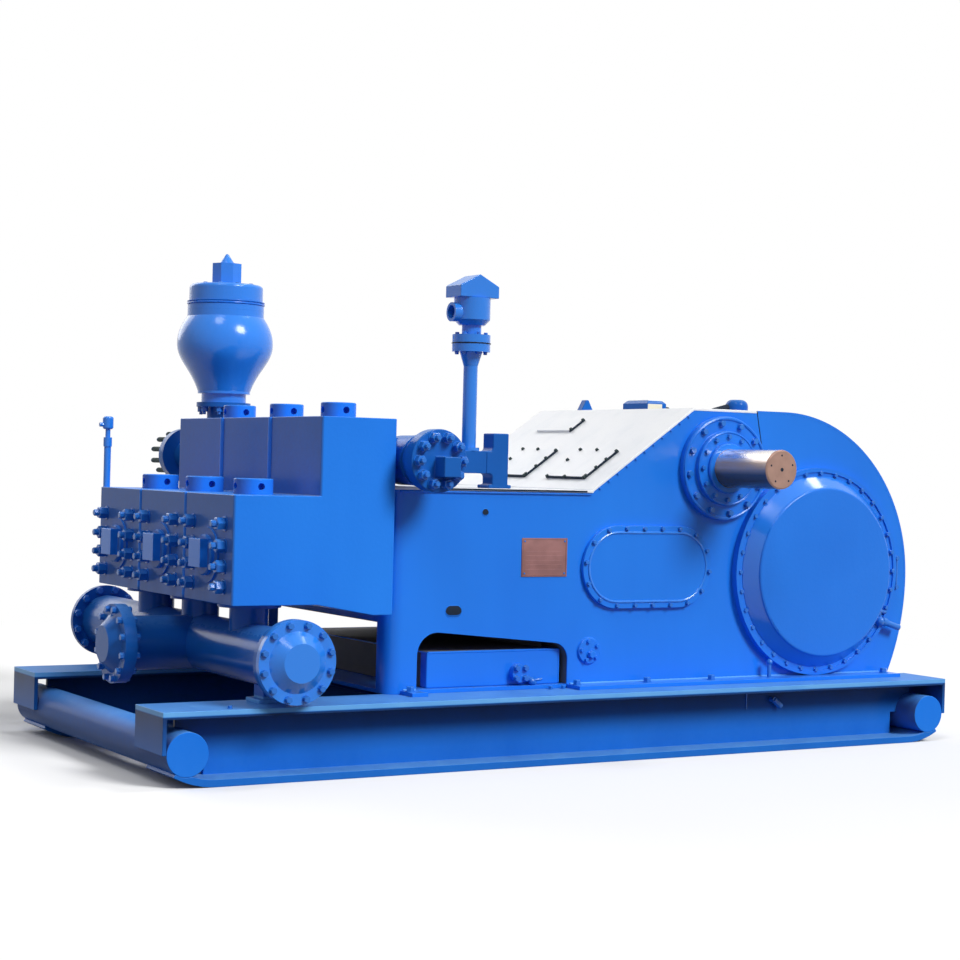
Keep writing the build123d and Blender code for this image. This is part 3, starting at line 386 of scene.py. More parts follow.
# %% [markdown]
# ## Painted shade, gaps and oil
# Gaskets and oiled threads hardly send any light back. Open bores, gaps and the inside of the frame
# lie in shade, which is painted on. Three dark finishes cover them: a dull gap, a dark lining for painted
# shade, and oiled threads.

# %% Dark finishes
def dull(name, first, second, scale, roughness, depth, metallic=0.0, stretch=(1, 1, 1)):
    """colour = mix(first, second, noise); the same noise is the bump, `depth` metres deep."""
    dark = Recipe(bpy.data.materials.new(name))
    cloud = dark.noise(scale, stretch=stretch)
    return dark.shown(dark.principled({
        "Base Color": dark.mixed(cloud, first, second),
        "Roughness": cloud * 0.2 + roughness,
        "Normal": dark.bumps((cloud, depth)),
        "IOR": 1.45, "Specular IOR Level": 0.25, "Metallic": metallic,
    }))


gap = dull("dark gap", (0.003, 0.008, 0.020), (0.008, 0.020, 0.042), 40.0, 0.6, 0.0005)
# Painted shade: a dark lining for the shaded inside of the housing.
painted_shade_lining = dull("dark lining for painted shade", (0.070, 0.072, 0.085), (0.130, 0.120, 0.125), 14.0, 0.5, 0.001)
thread = dull("oiled thread", (0.012, 0.022, 0.024), (0.050, 0.075, 0.080), 260.0, 0.35, 0.001,
              0.6, (0.02, 1.0, 0.02))

# %% [markdown]
# ## Surfaces from arrays
# Every new piece is a stack of point rings worked out with numpy, then handed to Blender in one
# go. A shape here is a pair: an array of points, and a list of face arrays with corner numbers.

# %% From arrays to a mesh
def unit(vectors):
    """Vectors divided by their own lengths."""
    return vectors / np.linalg.norm(vectors, axis=-1, keepdims=True)


def left_of(along):
    """Unit vectors a quarter turn to the left of 2-D ones."""
    along = unit(along)
    return np.stack([-along[:, 1], along[:, 0]], 1)


def walls(rows, columns, closed=False):
    """Quads (i, j), (i, j+1), (i+1, j+1), (i+1, j) between rings, where point (i, j) has the number
    i * columns + j. The end rings get flat caps, or meet each other in a closed stack."""
    i = np.arange(rows if closed else rows - 1)[:, None]
    j = np.arange(columns)[None, :]
    i1, j1 = (i + 1) % rows, (j + 1) % columns
    corners = [i * columns + j, i * columns + j1, i1 * columns + j1, i1 * columns + j]
    quads = np.stack(np.broadcast_arrays(*corners), axis=-1).reshape(-1, 4)
    return [quads] if closed else [quads, j[:, ::-1], j + (rows - 1) * columns]


def turned(profile, steps, closed=False):
    """A lathe: P(i, a) = (r_i cos a, r_i sin a, h_i). Open profiles are closed by flat end caps."""
    profile = np.asarray(profile, float)
    angle = (np.arange(steps) + 0.5) * 2 * math.pi / steps
    r, h = profile[:, :1], profile[:, 1:]
    points = np.stack(np.broadcast_arrays(r * np.cos(angle), r * np.sin(angle), h), axis=-1)
    return points.reshape(-1, 3), walls(len(profile), steps, closed)


def slab(outline, thickness, edge):
    """A plate on Z = 0: the outline, carried up, and drawn in by `edge` along a rounded rim."""
    outline = np.asarray(outline, float)
    inward = left_of(np.roll(outline, -1, 0) - np.roll(outline, 1, 0))
    bend = np.radians([0, 30, 60, 90])
    draw = np.concatenate([[0.0], edge * (1 - np.cos(bend))])
    rise = np.concatenate([[0.0], thickness - edge + edge * np.sin(bend)])
    flat = outline + inward * draw[:, None, None]
    points = np.concatenate([flat, np.broadcast_to(rise[:, None, None], flat.shape[:2] + (1,))], 2)
    return points.reshape(-1, 3), walls(len(draw), len(outline))


def join(*shapes):
    """Several shapes as one."""
    points, faces, start = [], [], 0
    for p, f in shapes:
        points.append(p)
        faces += [a + start for a in f]
        start += len(p)
    return np.concatenate(points), faces


def directions(vectors):
    """For each vector, the three axes of a frame whose Z runs along it, as (n, 3, 3)."""
    z = unit(np.asarray(vectors, float).reshape(-1, 3))
    helper = np.where(np.abs(z[:, 2:]) > 0.9, [[1.0, 0, 0]], [[0, 0, 1.0]])
    x = unit(np.cross(helper, z))
    return np.stack([x, np.cross(z, x), z], axis=1)


def copies(shape, places, vector, turn=0.0):
    """A shape stood at each place with its Z along the vector: P' = place + x X + y Y + z Z, where
    X and Y are turned by `turn` first."""
    points, faces = shape
    places = np.asarray(places, float).reshape(-1, 3)
    count = len(places)
    x, y, z = directions(np.broadcast_to(np.asarray(vector, float), (count, 3))).swapaxes(0, 1)
    turn = np.broadcast_to(np.asarray(turn, float), (count,))[:, None]
    axes = np.stack([x * np.cos(turn) + y * np.sin(turn), y * np.cos(turn) - x * np.sin(turn), z], 1)
    moved = places[:, None, :] + np.einsum("pk,nkc->npc", points, axes)
    shift = (np.arange(count) * len(points))[:, None, None]
    return moved.reshape(-1, 3), [(f[None] + shift).reshape(-1, f.shape[1]) for f in faces]


def tube(path, radius, sides=8, reference=(0, 0, 1), closed=False):
    """A round bead: P(s, a) = path(s) + r(s) (n cos a + b sin a), with n square to the path."""
    path = np.asarray(path, float)
    radius = np.broadcast_to(np.asarray(radius, float), (len(path),))[:, None, None]
    along = np.roll(path, -1, 0) - np.roll(path, 1, 0) if closed else np.gradient(path, axis=0)
    along = unit(along)
    n = unit(np.cross(along, reference))
    b = np.cross(along, n)
    angle = (np.arange(sides) * 2 * math.pi / sides)[None, :, None]
    around = n[:, None] * np.cos(angle) + b[:, None] * np.sin(angle)
    return (path[:, None] + radius * around).reshape(-1, 3), walls(len(path), sides, closed)


def pipe(start, end, radius, sides=14):
    """A straight round bar between two points, whatever its direction."""
    return tube([start, end], radius, sides, reference=(0.31, 0.27, 0.91))


def hoop(centre, radius, bead, axis):
    """A round bead along a circle: the lathe's profile is itself a small circle."""
    a = np.linspace(0, 2 * math.pi, 8, endpoint=False)
    return copies(turned(np.stack([radius + bead * np.cos(a), bead * np.sin(a)], 1), 96, True), centre, axis)


def block(low, high, edge=0.001):
    """A plate between two corners, which is a slab on a rectangle."""
    x0, y0, z0 = low
    x1, y1, z1 = high
    points, faces = slab([(x0, y0), (x1, y0), (x1, y1), (x0, y1)], z1 - z0, edge)
    return points + [0, 0, z0], faces


def disc(radius, thickness, edge, steps=32):
    """A round plate: a lathe profile with a small chamfer at its rim."""
    return turned([(radius, 0), (radius, thickness - edge), (radius - edge, thickness)], steps)


def stand(name, mesh, material, body, sharp):
    """Puts a mesh into the scene: smooth but for edges over `sharp` degrees, on its body."""
    mesh.shade_smooth()
    mesh.set_sharp_from_angle(angle=math.radians(sharp))
    mesh.materials.clear()
    mesh.materials.append(material)
    made = bpy.data.objects.new(name, mesh)
    bpy.context.scene.collection.objects.link(made)
    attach(made, body)
    return made


SMOOTH_TO = 32


def piece(name, shape, material, body="pump"):
    """Makes a shape an object of its own that rides on a body and takes the given material."""
    points, faces = shape
    mesh = bpy.data.meshes.new(name)
    mesh.from_pydata((points + HOME).tolist(), [], [c for f in faces for c in f.tolist()])
    shell = bmesh.new()
    shell.from_mesh(mesh)
    bmesh.ops.recalc_face_normals(shell, faces=shell.faces)
    shell.to_mesh(mesh)
    shell.free()
    stand(name, mesh, material, body, SMOOTH_TO)
    print(name, "-", len(mesh.polygons), "faces")


print("shape helpers ready")

# %% [markdown]
# ## Rounded edges on the big plates
# A CAD box has mathematically sharp edges, and no real edge is. Light catches the small round on
# every flame-cut plate and forged block, and that bright line is what the eye reads as weight.
# A CAD node is never changed, so each gets a stand-in: a copy of its mesh with the doubled points
# merged, flat areas joined to single faces, and a live Bevel modifier.

# %% Bevelled stand-ins for CAD nodes
BEVEL_FROM = 28
replaced = set()


def fitting(pattern):
    """The names of the CAD nodes that fit a pattern, in which * stands for any letters."""
    return [name for name in nodes if fnmatch(name, pattern)]


def skin(node, width, material, body="pump"):
    """A copy of a CAD node with rounded edges, which replaces it."""
    mesh = nodes[node].data.copy()
    mesh.name = node + "_skin"
    shell = bmesh.new()
    shell.from_mesh(mesh)
    bmesh.ops.remove_doubles(shell, verts=shell.verts, dist=1e-5)
    bmesh.ops.dissolve_limit(shell, angle_limit=math.radians(0.6), verts=shell.verts,
                             edges=shell.edges)
    shell.to_mesh(mesh)
    shell.free()
    custom = mesh.attributes.get("custom_normal")
    if custom:
        mesh.attributes.remove(custom)
    made = stand(node + "_skin", mesh, material, body, BEVEL_FROM)
    bevel = made.modifiers.new("rounded edges", "BEVEL")
    bevel.width = width
    bevel.segments = 2
    bevel.limit_method = "ANGLE"
    bevel.angle_limit = math.radians(BEVEL_FROM)
    bevel.harden_normals = True
    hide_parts(node)
    replaced.add(node)


EDGE_WIDTHS = {
    plate_blue: {"power_frame": 0.0012, "rear_hood": 0.0008, "crosshead_door_*": 0.003, "wash_tank": 0.006},
    cast_blue: {"crank_cover_*": 0.004, "pinion_cover_*": 0.004},
    vessel_blue: {"relief_housing": 0.004},
    pipe_blue: {"skid_pipe_*": 0.004},
    forged_blue: {"fluid_module_*": 0.009, "fluid_end_plate": 0.004},
    shade_blue: {"manifold_bracket": 0.006, "relief_elbow": 0.006, "discharge_end_flange": 0.006,
                 "top_hatch": 0.003, "lifting_lug": 0.004},
    sled_blue: {"skid_beam_*": 0.003, "manifold_pedestals": 0.003, "skid_cross_beams": 0.004},
}
for material, widths in EDGE_WIDTHS.items():
    for pattern, width in widths.items():
        for node in fitting(pattern):
            skin(node, width, material)
for node in fitting("*deck*"):
    skin(node, 0.003, pale)
skin("pinion_shaft", 0.002, steel, body="pinion")
print("bevelled stand-ins:", len(replaced))

# %% [markdown]
# ## Paint on the nodes that stay
# The round parts are already right as they are, so they keep their CAD mesh and only get paint.
# The piping lies in the shade of the blocks, so it gets a darker copy of the blue: painted shade.

# %% Paint the remaining CAD nodes
PAINTS = {
    shade_blue: ("suction_manifold", "suction_cap_front", "discharge_manifold", "discharge_cross",
                 "breather"),
    vessel_blue: ("dampener*", "relief*", "gauge_pole", "suction_cap_near"),
    forged_blue: ("cylinder_plug*", "suction_valve*", "discharge_valve*"),
    cast_blue: ("*",),
}
for name, node in nodes.items():
    if name not in replaced:
        fits = [paint for paint, patterns in PAINTS.items() if any(fnmatch(name, p) for p in patterns)]
        node.data.materials.clear()
        node.data.materials.append(fits[0])
print("painted as they are:", ", ".join(sorted(set(nodes) - replaced)))

# %% [markdown]
# ## Bolts, nuts and studs
# One bolt is a washer and a six-sided head, both lathe shapes: a lathe with six steps cuts a
# hexagon. Each is a few dozen faces, because hundreds of them follow. Copies are placed by arrays
# and every head gets a turn of its own, as a mechanic leaves them.

# %% Fastener shapes
NUT_HEIGHT = 0.85
STUD_REACH = 1.3
DOOR_PLATE = 0.022
random = np.random.default_rng(7)


def hex_bolt(across):
    """Washer r = 0.66 a, head up to 0.72 a with a small chamfer, where a is the size across flats."""
    corner = across / math.sqrt(3)
    washer = turned([(across * 0.66, 0), (across * 0.66, across * 0.1)], 12)
    head = turned([(corner, across * 0.1), (corner, across * 0.62), (corner * 0.86, across * 0.72)], 6)
    return join(washer, head)


def stud_nut(across):
    """A washer, a hexagon nut and a stud end that stands out of it."""
    corner, core = across / math.sqrt(3), across * 0.31
    washer = turned([(across * 0.64, 0), (across * 0.64, across * 0.09)], 12)
    body = turned([(corner * 0.9, across * 0.09), (corner, across * 0.15),
                   (corner, across * (NUT_HEIGHT - 0.06)), (corner * 0.88, across * NUT_HEIGHT)], 6)
    stud = turned([(core, across * NUT_HEIGHT * 0.9), (core, across * (STUD_REACH - 0.08)),
                   (core * 0.8, across * STUD_REACH)], 8)
    return join(washer, body, stud)


def ring(centre, radius, count, axis, start=0.0):
    """Bolt circle: centre + radius (u cos a + v sin a), with u and v square to the axis."""
    x, y, _z = directions([axis])[0]
    angle = np.radians(start) + np.arange(count) * 2 * math.pi / count
    return np.asarray(centre) + radius * (np.cos(angle)[:, None] * x + np.sin(angle)[:, None] * y)


def fasteners(shape, places, vector):
    """A shape at each place, each with a random turn about its own axis."""
    return copies(shape, places, vector, random.uniform(0, math.pi / 3, len(places)))


def bolted(shape, centre, radius, count, axis, start=0.0):
    """Fasteners all round a bolt circle, standing along its axis."""
    return fasteners(shape, ring(centre, radius, count, axis, start), axis)


def stadium(length, height, count):
    """Points evenly spaced round a shape of two straights and two half circles, by arc length s."""
    r = height / 2
    run = length - height
    s = np.arange(count) / count * (2 * run + 2 * math.pi * r)
    lower = s % (run + math.pi * r)
    side = np.where(s < run + math.pi * r, 1.0, -1.0)
    turn = np.clip(lower - run, 0, None) / r
    x = np.where(lower < run, lower - run / 2, run / 2 + r * np.sin(turn))
    y = np.where(lower < run, -r, -r * np.cos(turn))
    return np.stack([x * side, y * side], 1)


def on_wall(points, side, out=0.0):
    """(x, z) points on a side wall of the frame, `out` metres off it."""
    points = np.reshape(points, (-1, 2))
    return np.insert(points, 1, side * (WALL + out), axis=1)


def on_cover(node, side, out):
    """The middle of a round cover, `out` metres off the wall."""
    return on_wall(middle(node)[[0, 2]], side, out)[0]


def on_door(name, inset, count):
    """Points on a crosshead door's face, on a line `inset` metres inside its rim."""
    low, high = span("crosshead_door_" + name)
    length, height = (high - low)[[0, 2]] - 2 * inset
    centre = (low + high)[[0, 2]] / 2
    return on_wall(centre + stadium(length, height, count), SIDES[name], DOOR_PLATE)


print("a bolt has", sum(len(f) for f in hex_bolt(0.03)[1]), "faces")

# %% [markdown]
# ## The bolts of the power frame
# The crank and pinion covers carry a full bolt circle on both sides of the frame, the crosshead
# doors a row along their rim with a raised bead inside it, and the feet a few large bolts down
# into the sled. The wall's place comes from the CAD covers, so every head sits on its plate.

# %% Frame bolts
COVER_PLATE = 0.034
PINION_HUB = 0.058
CRANK_RING, PINION_RING, HUB_RING = (0.534, 32), (0.238, 12), (0.166, 12)
DOOR_BOLT_INSET, DOOR_BOLTS = 0.015, 18
FOOT_BOLTS_X = [1.35, 2.308, 2.740, 3.153, 4.349]
FOOT_BOLTS_Y = 0.80

shapes = []
for name, side in SIDES.items():
    out = (0, side, 0)
    crank, pinion = "crank_cover_" + name, "pinion_cover_" + name
    shapes.append(bolted(hex_bolt(0.022), on_cover(crank, side, COVER_PLATE), *CRANK_RING, out))
    shapes.append(bolted(hex_bolt(0.030), on_cover(pinion, side, COVER_PLATE), *PINION_RING, out, 8))
    shapes.append(bolted(hex_bolt(0.022), on_cover(pinion, side, PINION_HUB), *HUB_RING, out))
    shapes.append(fasteners(hex_bolt(0.020), on_door(name, DOOR_BOLT_INSET, DOOR_BOLTS), out))
    feet = [(x, side * FOOT_BOLTS_Y, FOOT_TOP) for x in FOOT_BOLTS_X]
    shapes.append(fasteners(hex_bolt(0.036), feet, UP))
piece("frame_bolts", join(*shapes), bolt_blue)

# %% [markdown]
# ## Beads, seals and small welds
# A pressed door has a stiffening bead inside its bolt row. The housing is welded to its foot
# plates all along. The crank covers flare out to their flanges. Round the shaft sits a seal ring
# that stays still while the shaft turns in it, so it rides on the pump and leaves a hair of room.

# %% Beads, welds and seal rings
WELD_RADIUS, WELD_PASS = 0.007, 0.009
REAR_WELD, FRONT_WELD = (2.30, 4.36), (1.34, 1.41)
DOOR_BEAD_INSET, DOOR_BEAD = 0.035, 0.0065
SKIRT = [(0.452, -0.001), (0.517, -0.001), (0.517, 0.003), (0.4630, 0.060), (0.4575, 0.0655),
         (0.452, 0.0655)]
SEAL = [(0.1175, 0.0), (0.132, 0.0), (0.132, 0.012), (0.127, 0.018), (0.102, 0.018), (0.102, 0.0163),
        (0.1175, 0.0163)]
HUB_BEAD, FLANGE_BEAD = (0.190, 0.005), (0.263, 0.009)


def weld(start, end, radius):
    """A weld bead: a straight tube whose radius ripples with every pass of the rod."""
    start, end = np.asarray(start, float), np.asarray(end, float)
    count = max(8, int(np.linalg.norm(end - start) / WELD_PASS))
    s = np.linspace(0, 1, count)[:, None]
    ripple = radius * (1 + 0.12 * np.sin(s[:, 0] * count * 2.1) + random.uniform(-0.06, 0.06, count))
    return tube(start + (end - start) * s, ripple, 6, reference=(0.3, 0.2, 1.0))


beads, welds, seals, skirts = [], [], [], []
for name, side in SIDES.items():
    out = (0, side, 0)
    beads.append(tube(on_door(name, DOOR_BEAD_INSET, 96), DOOR_BEAD, 8, FARWARD, closed=True))
    y = side * (WALL + 0.002)
    for start, end in (REAR_WELD, FRONT_WELD):
        welds.append(weld((start, y, FOOT_TOP), (end, y, FOOT_TOP), WELD_RADIUS))
    hub = on_cover("pinion_cover_" + name, side, PINION_HUB)
    seals += [copies(turned(SEAL, 64, closed=True), hub, out), hoop(hub, *HUB_BEAD, out)]
    seals.append(hoop(on_cover("pinion_cover_" + name, side, COVER_PLATE), *FLANGE_BEAD, out))
    crank = on_cover("crank_cover_" + name, side, COVER_PLATE)
    skirts.append(copies(turned(SKIRT, 128, closed=True), crank, out))
piece("door_beads", join(*beads), vessel_blue)
# The welds lie at the height of the sled's painted rim highlight and show it as a pale line.
piece("foot_welds", join(*welds), sled_blue)
piece("seal_rings", join(*seals), cast_blue)
piece("crank_cover_skirts", join(*skirts), wet_blue)

# %% [markdown]
# ## The shaft's sawn ends
# Both ends of the pinion shaft are faced off and carry a deep centre hole from the lathe and a
# ring of tapped holes for a lifting plate; each hole is a thin dark disc, a painted shade for its depth.
# They turn with the shaft.

# %% Shaft ends
SHAFT_END = [(0.1003, -0.0100), (0.1003, -0.0062), (0.0945, 0.0004), (0.0935, 0.0012)]
CENTRE_HOLE, TAPPED_HOLE, HOLE_LIP, HOLE_EDGE = 0.010, 0.0055, 0.0016, 0.0004
TAPPED_RING, TAPPED_HOLES, TAPPED_START = 0.072, 5, 20
shaft_x, _y, shaft_z = middle("pinion_shaft")
faces, holes = [], []
for side, corner in zip((-1, 1), span("pinion_shaft")):
    end, out = (shaft_x, corner[1], shaft_z), (0, side, 0)
    faces.append(copies(turned(SHAFT_END, 96), end, out))
    tapped = ring(end, TAPPED_RING, TAPPED_HOLES, out, TAPPED_START)
    # Painted shade: dark discs stand for the holes.
    holes.append(copies(disc(CENTRE_HOLE, HOLE_LIP, HOLE_EDGE, 20), end, out))
    holes.append(copies(disc(TAPPED_HOLE, HOLE_LIP, HOLE_EDGE, 14), tapped, out))
piece("shaft_ends", join(*faces), shaft_copper, body="pinion")
piece("shaft_end_holes", join(*holes), gap, body="pinion")

# %% [markdown]
# ## Studs on the fluid end
# Each forged module is closed at the front by a heavy cover that eight studs hold down against
# the mud pressure, in two columns of four. The nuts are large and the stud ends stand proud.
# Between the columns stands the square that a wrench grips to unscrew the plug.

# %% Fluid end studs
STUD_COLUMNS = [-0.1825, 0.1825]
STUD_ROWS = [1.155, 1.054, 0.958, 0.866]
PLUG_SQUARE_FACE = 0.316
PLUG_SQUARE_HALF, PLUG_SQUARE_Z = 0.066, (0.949, 1.080)
module_front = span("fluid_module_near")[0][0]
shapes, squares = [], []
for name in MODULES:
    y = middle("fluid_module_" + name)[1]
    places = [(module_front, y + column, row) for row in STUD_ROWS for column in STUD_COLUMNS]
    shapes.append(fasteners(stud_nut(0.055), places, (-1, 0, 0)))
    squares.append(block((PLUG_SQUARE_FACE, y - PLUG_SQUARE_HALF, PLUG_SQUARE_Z[0]),
                         (module_front, y + PLUG_SQUARE_HALF, PLUG_SQUARE_Z[1]), 0.003))
piece("fluid_end_studs", join(*shapes), bolt_blue)
piece("plug_squares", join(*squares), plate_blue)

# %% [markdown]
# ## Seams between the modules
# The three modules stand side by side with a narrow gap. A round sealing strip is pressed into
# each gap at the front, so water cannot run in between, and it catches the light.

# %% Module seams
UPPER_FRONT, UPPER_TOP, LOWER_TOP, SEAM_FOOT = 0.820, 1.656, 1.284, 0.800
SEAMS = [(UPPER_FRONT + 0.004, LOWER_TOP, UPPER_TOP, 0.015),
         (module_front + 0.005, SEAM_FOOT, LOWER_TOP, 0.011)]
strips = []
for first, second in zip(MODULES, MODULES[1:]):
    y = (middle("fluid_module_" + first)[1] + middle("fluid_module_" + second)[1]) / 2
    for x, low, high, radius in SEAMS:
        strips.append(tube([(x, y, low), (x, y, high)], radius, 12, reference=FARWARD))
piece("module_seams", join(*strips), plate_blue)

# %% [markdown]
# ## Bolts of the suction manifold
# Each blind cap is clamped on with twelve bolts: heads in front, nuts behind the fixed flange.
# The open far flange has its bolts waiting from behind, so its own face stays free.

# %% Manifold bolts
CAP_RING = (0.170, 12)
FLANGE_PAIR = 0.030
shapes = []
for node, axis in (("suction_cap_near", 1), ("suction_cap_front", 0)):
    back = np.eye(3)[axis]
    centre = middle(node)
    centre[axis] = span(node)[1][axis]
    for way in (-back, back):
        shapes.append(bolted(hex_bolt(0.028), centre + FLANGE_PAIR * way, *CAP_RING, way, 15))
far_back = middle("suction_cap_near")
far_back[1] = span("suction_manifold")[1][1] - FLANGE_PAIR
shapes.append(bolted(hex_bolt(0.034), far_back, *CAP_RING, NEARWARD, 15))
piece("manifold_bolts", join(*shapes), bolt_blue)

# %% [markdown]
# ## Studs of the pressure line
# The discharge end flange, the pad under the dampener, its lid and the relief valve are held by
# studs. On the lid they are cap screws sunk nearly flush, so only low round heads show.
# A raised rim and two joints run round the lid, and a dark gasket under the relief valve.

# %% Discharge, dampener and relief valve fasteners
END_FLANGE_FACE = 0.090
DAMPENER_PAD_BELOW = 1.747
END_FLANGE_RING, PAD_RING, LID_RING, RELIEF_RING = (0.114, 10), (0.131, 8), (0.160, 10), (0.070, 6)
RELIEF_FLANGE = 0.042
GASKET_RADIUS, JOINT_BEAD, RIM_BEAD = 0.0935, 0.0035, 0.0055
LID_JOINT_TOP, LID_RIM, LID_JOINT_BELOW = 2.352, 2.340, 2.302
end = middle("discharge_end_flange")
end[1] = span("discharge_end_flange")[0][1] + END_FLANGE_FACE
shapes = [bolted(stud_nut(0.044), end, *END_FLANGE_RING, NEARWARD)]
dampener_x, dampener_y, _z = middle("dampener_body")
pad = (dampener_x, dampener_y, DAMPENER_PAD_BELOW)
shapes.append(fasteners(stud_nut(0.034), ring(pad, *PAD_RING, UP, 10), (0, 0, -1)))
lid_low, lid_high = span("dampener_lid")
shapes.append(bolted(disc(0.014, 0.007, 0.003, 12), (dampener_x, dampener_y, lid_high[2]), *LID_RING, UP))
valve_foot = middle("relief_riser")
valve_foot[2] = span("relief_valve")[0][2]
for way in (-1, 1):
    level = valve_foot + [0, 0, way * RELIEF_FLANGE]
    shapes.append(fasteners(hex_bolt(0.018), ring(level, *RELIEF_RING, UP), (0, 0, way)))
piece("pressure_studs", join(*shapes), bolt_blue)

lid_radius = (lid_high[0] - lid_low[0]) / 2
joints = [hoop((dampener_x, dampener_y, height), radius, JOINT_BEAD, UP)
          for height, radius in ((LID_JOINT_TOP, lid_radius), (LID_JOINT_BELOW, lid_radius * 0.985))]
piece("joint_gaskets", hoop(valve_foot, GASKET_RADIUS, JOINT_BEAD, UP), gap)
piece("lid_joints", join(*joints), sled_blue)
piece("lid_rim", hoop((dampener_x, dampener_y, LID_RIM), lid_radius - 0.001, RIM_BEAD, UP), cast_blue)

# %% [markdown]
# ## Threads on the outlet studs
# The discharge line is not connected, so twelve long studs stand bare out of its flange. Each
# is oiled black and rolled with a coarse thread: a lathe profile whose radius rises and falls
# along the stud, drawn in to a point at its free end.

# %% Outlet stud threads
OUTLET = (1.362, 2.095, 1.466)
OUTLET_RING = (0.130, 12)
STUD_CORE, STUD_LENGTH = 0.0138, 0.176
THREAD_DEPTH, THREAD_STEPS, POINT_SHARE = 0.0013, 45, 0.06
turns = np.linspace(0, 1, THREAD_STEPS)
point = np.clip((1 - turns) / POINT_SHARE, 0.35, 1)
radius = (STUD_CORE + THREAD_DEPTH * (np.arange(THREAD_STEPS) % 2)) * point
sleeve = turned(np.stack([radius, turns * STUD_LENGTH], 1), 10)
places = ring(OUTLET, *OUTLET_RING, FARWARD, 15)
piece("outlet_stud_threads", copies(sleeve, places, FARWARD), thread)

# %% [markdown]
# ## Deck seams and cover strips
# The deck plate lies on the housing with a dark seam under its edge and a rounded trim below it.
# Every deck cover has a dark lip along its lower and its near edge, where small bolts press it
# down; the lip is a painted shadow of the gap under the cover. Places on the slope are a distance up it, a
# y, and a height off it.

# %% Deck details
SLOPE_START, DECK_HEIGHT = 2.410, 1.325
SLOPE = math.radians(35)
DECK_PLATE = 0.014
LOW_COVERS_Y, TOP_COVER_Y = [-0.378, 0.202], 0.310
LOW_COVER, TOP_COVER = (0.105, 0.355, 0.355), (0.5459, 0.6609, 0.340)
LIP, LIP_OUT, LIP_OFF = 0.0065, 0.004, DECK_PLATE + 0.006
BOLT_OFF, COVER_BOLT_OFF = DECK_PLATE + 0.008, DECK_PLATE + 0.012
BOLT_INSET, FAR_INSET, UPPER_INSETS = 0.01, 0.02, np.array([0.105, 0.006])
EDGE_BOLTS, EDGE_FROM, EDGE_TO, EDGE_DOWN = 11, 0.05, 0.72, -0.006
SEAM_X, SEAM_Z, SEAM_THICK = (1.47, 2.37), (1.3275, 1.3365), 0.001
TRIM_X, TRIM_OUT, TRIM_Z, TRIM_RADIUS = (1.30, 2.40), 0.004, 1.318, 0.006


def on_slope(up, y, off):
    """Start of the slope + up (cos, 0, sin) + off (-sin, 0, cos)."""
    up, y, off = np.broadcast_arrays(*(np.asarray(v, float) for v in (up, y, off)))
    x = SLOPE_START + up * math.cos(SLOPE) - off * math.sin(SLOPE)
    z = DECK_HEIGHT + up * math.sin(SLOPE) + off * math.cos(SLOPE)
    return np.stack([x, y, z], -1)


def cover_trim(y, low, high, width, whole):
    """A cover's dark lips, a painted shadow of its gap, and the places of its bolts. Only a whole one shows
    its lower edge.
    """
    near, far = y - width / 2 - LIP_OUT, y + width / 2
    # Painted shadow: dark lips on the lower and near edges only.
    lips = [tube(on_slope([low - LIP_OUT, high], near, LIP_OFF), LIP, 8, reference=FARWARD)]
    bolts = [on_slope(np.linspace(low + BOLT_INSET, high - BOLT_INSET, 4 if whole else 2), near, BOLT_OFF)]
    if whole:
        lips.append(tube(on_slope(low - LIP_OUT, [near, far], LIP_OFF), LIP))
        bolts.append(on_slope(low - LIP_OUT, [near, y, far - BOLT_INSET], BOLT_OFF))
        bolts.append(on_slope(high - UPPER_INSETS, far - FAR_INSET, COVER_BOLT_OFF))
        bolts.append(on_slope(high - UPPER_INSETS[1:], y, COVER_BOLT_OFF))
    return lips, bolts


strips, small = [], []
for y, cover, whole in ((LOW_COVERS_Y[0], LOW_COVER, True), (LOW_COVERS_Y[1], LOW_COVER, True),
                        (TOP_COVER_Y, TOP_COVER, False)):
    lips, bolts = cover_trim(y, *cover, whole)
    strips += lips
    small += bolts
edge = on_slope(np.linspace(EDGE_FROM, EDGE_TO, EDGE_BOLTS), 0.0, EDGE_DOWN)
slope_out = (-math.sin(SLOPE), 0, math.cos(SLOPE))
edge_bolts, trim = [], []
for side in (-1, 1):
    edge_bolts.append(copies(hex_bolt(0.011), edge + [0, side * WALL, 0], (0, side, 0)))
    y = side * (WALL + DECK_PLATE)
    inner, outer = sorted((y, y + side * SEAM_THICK))
    strips.append(block((SEAM_X[0], inner, SEAM_Z[0]), (SEAM_X[1], outer, SEAM_Z[1]), 0.0002))
    y = side * (WALL + TRIM_OUT)
    trim.append(tube([(x, y, TRIM_Z) for x in TRIM_X], TRIM_RADIUS))
piece("cover_bolts", fasteners(hex_bolt(0.016), np.concatenate(small), slope_out), thread)
piece("slope_bolts", join(*edge_bolts), cast_blue)
piece("cover_strips", join(*strips), gap)
piece("deck_trim", join(*trim), plate_blue)

# %% [markdown]
# ## On the roof
# The inspection hatch has a pale lid and cream side strips, with a dark stop behind it. The
# breather has a low hump of pipe beside it. The seam where the rear hood is bolted to the
# housing shows as one dark line down each side.

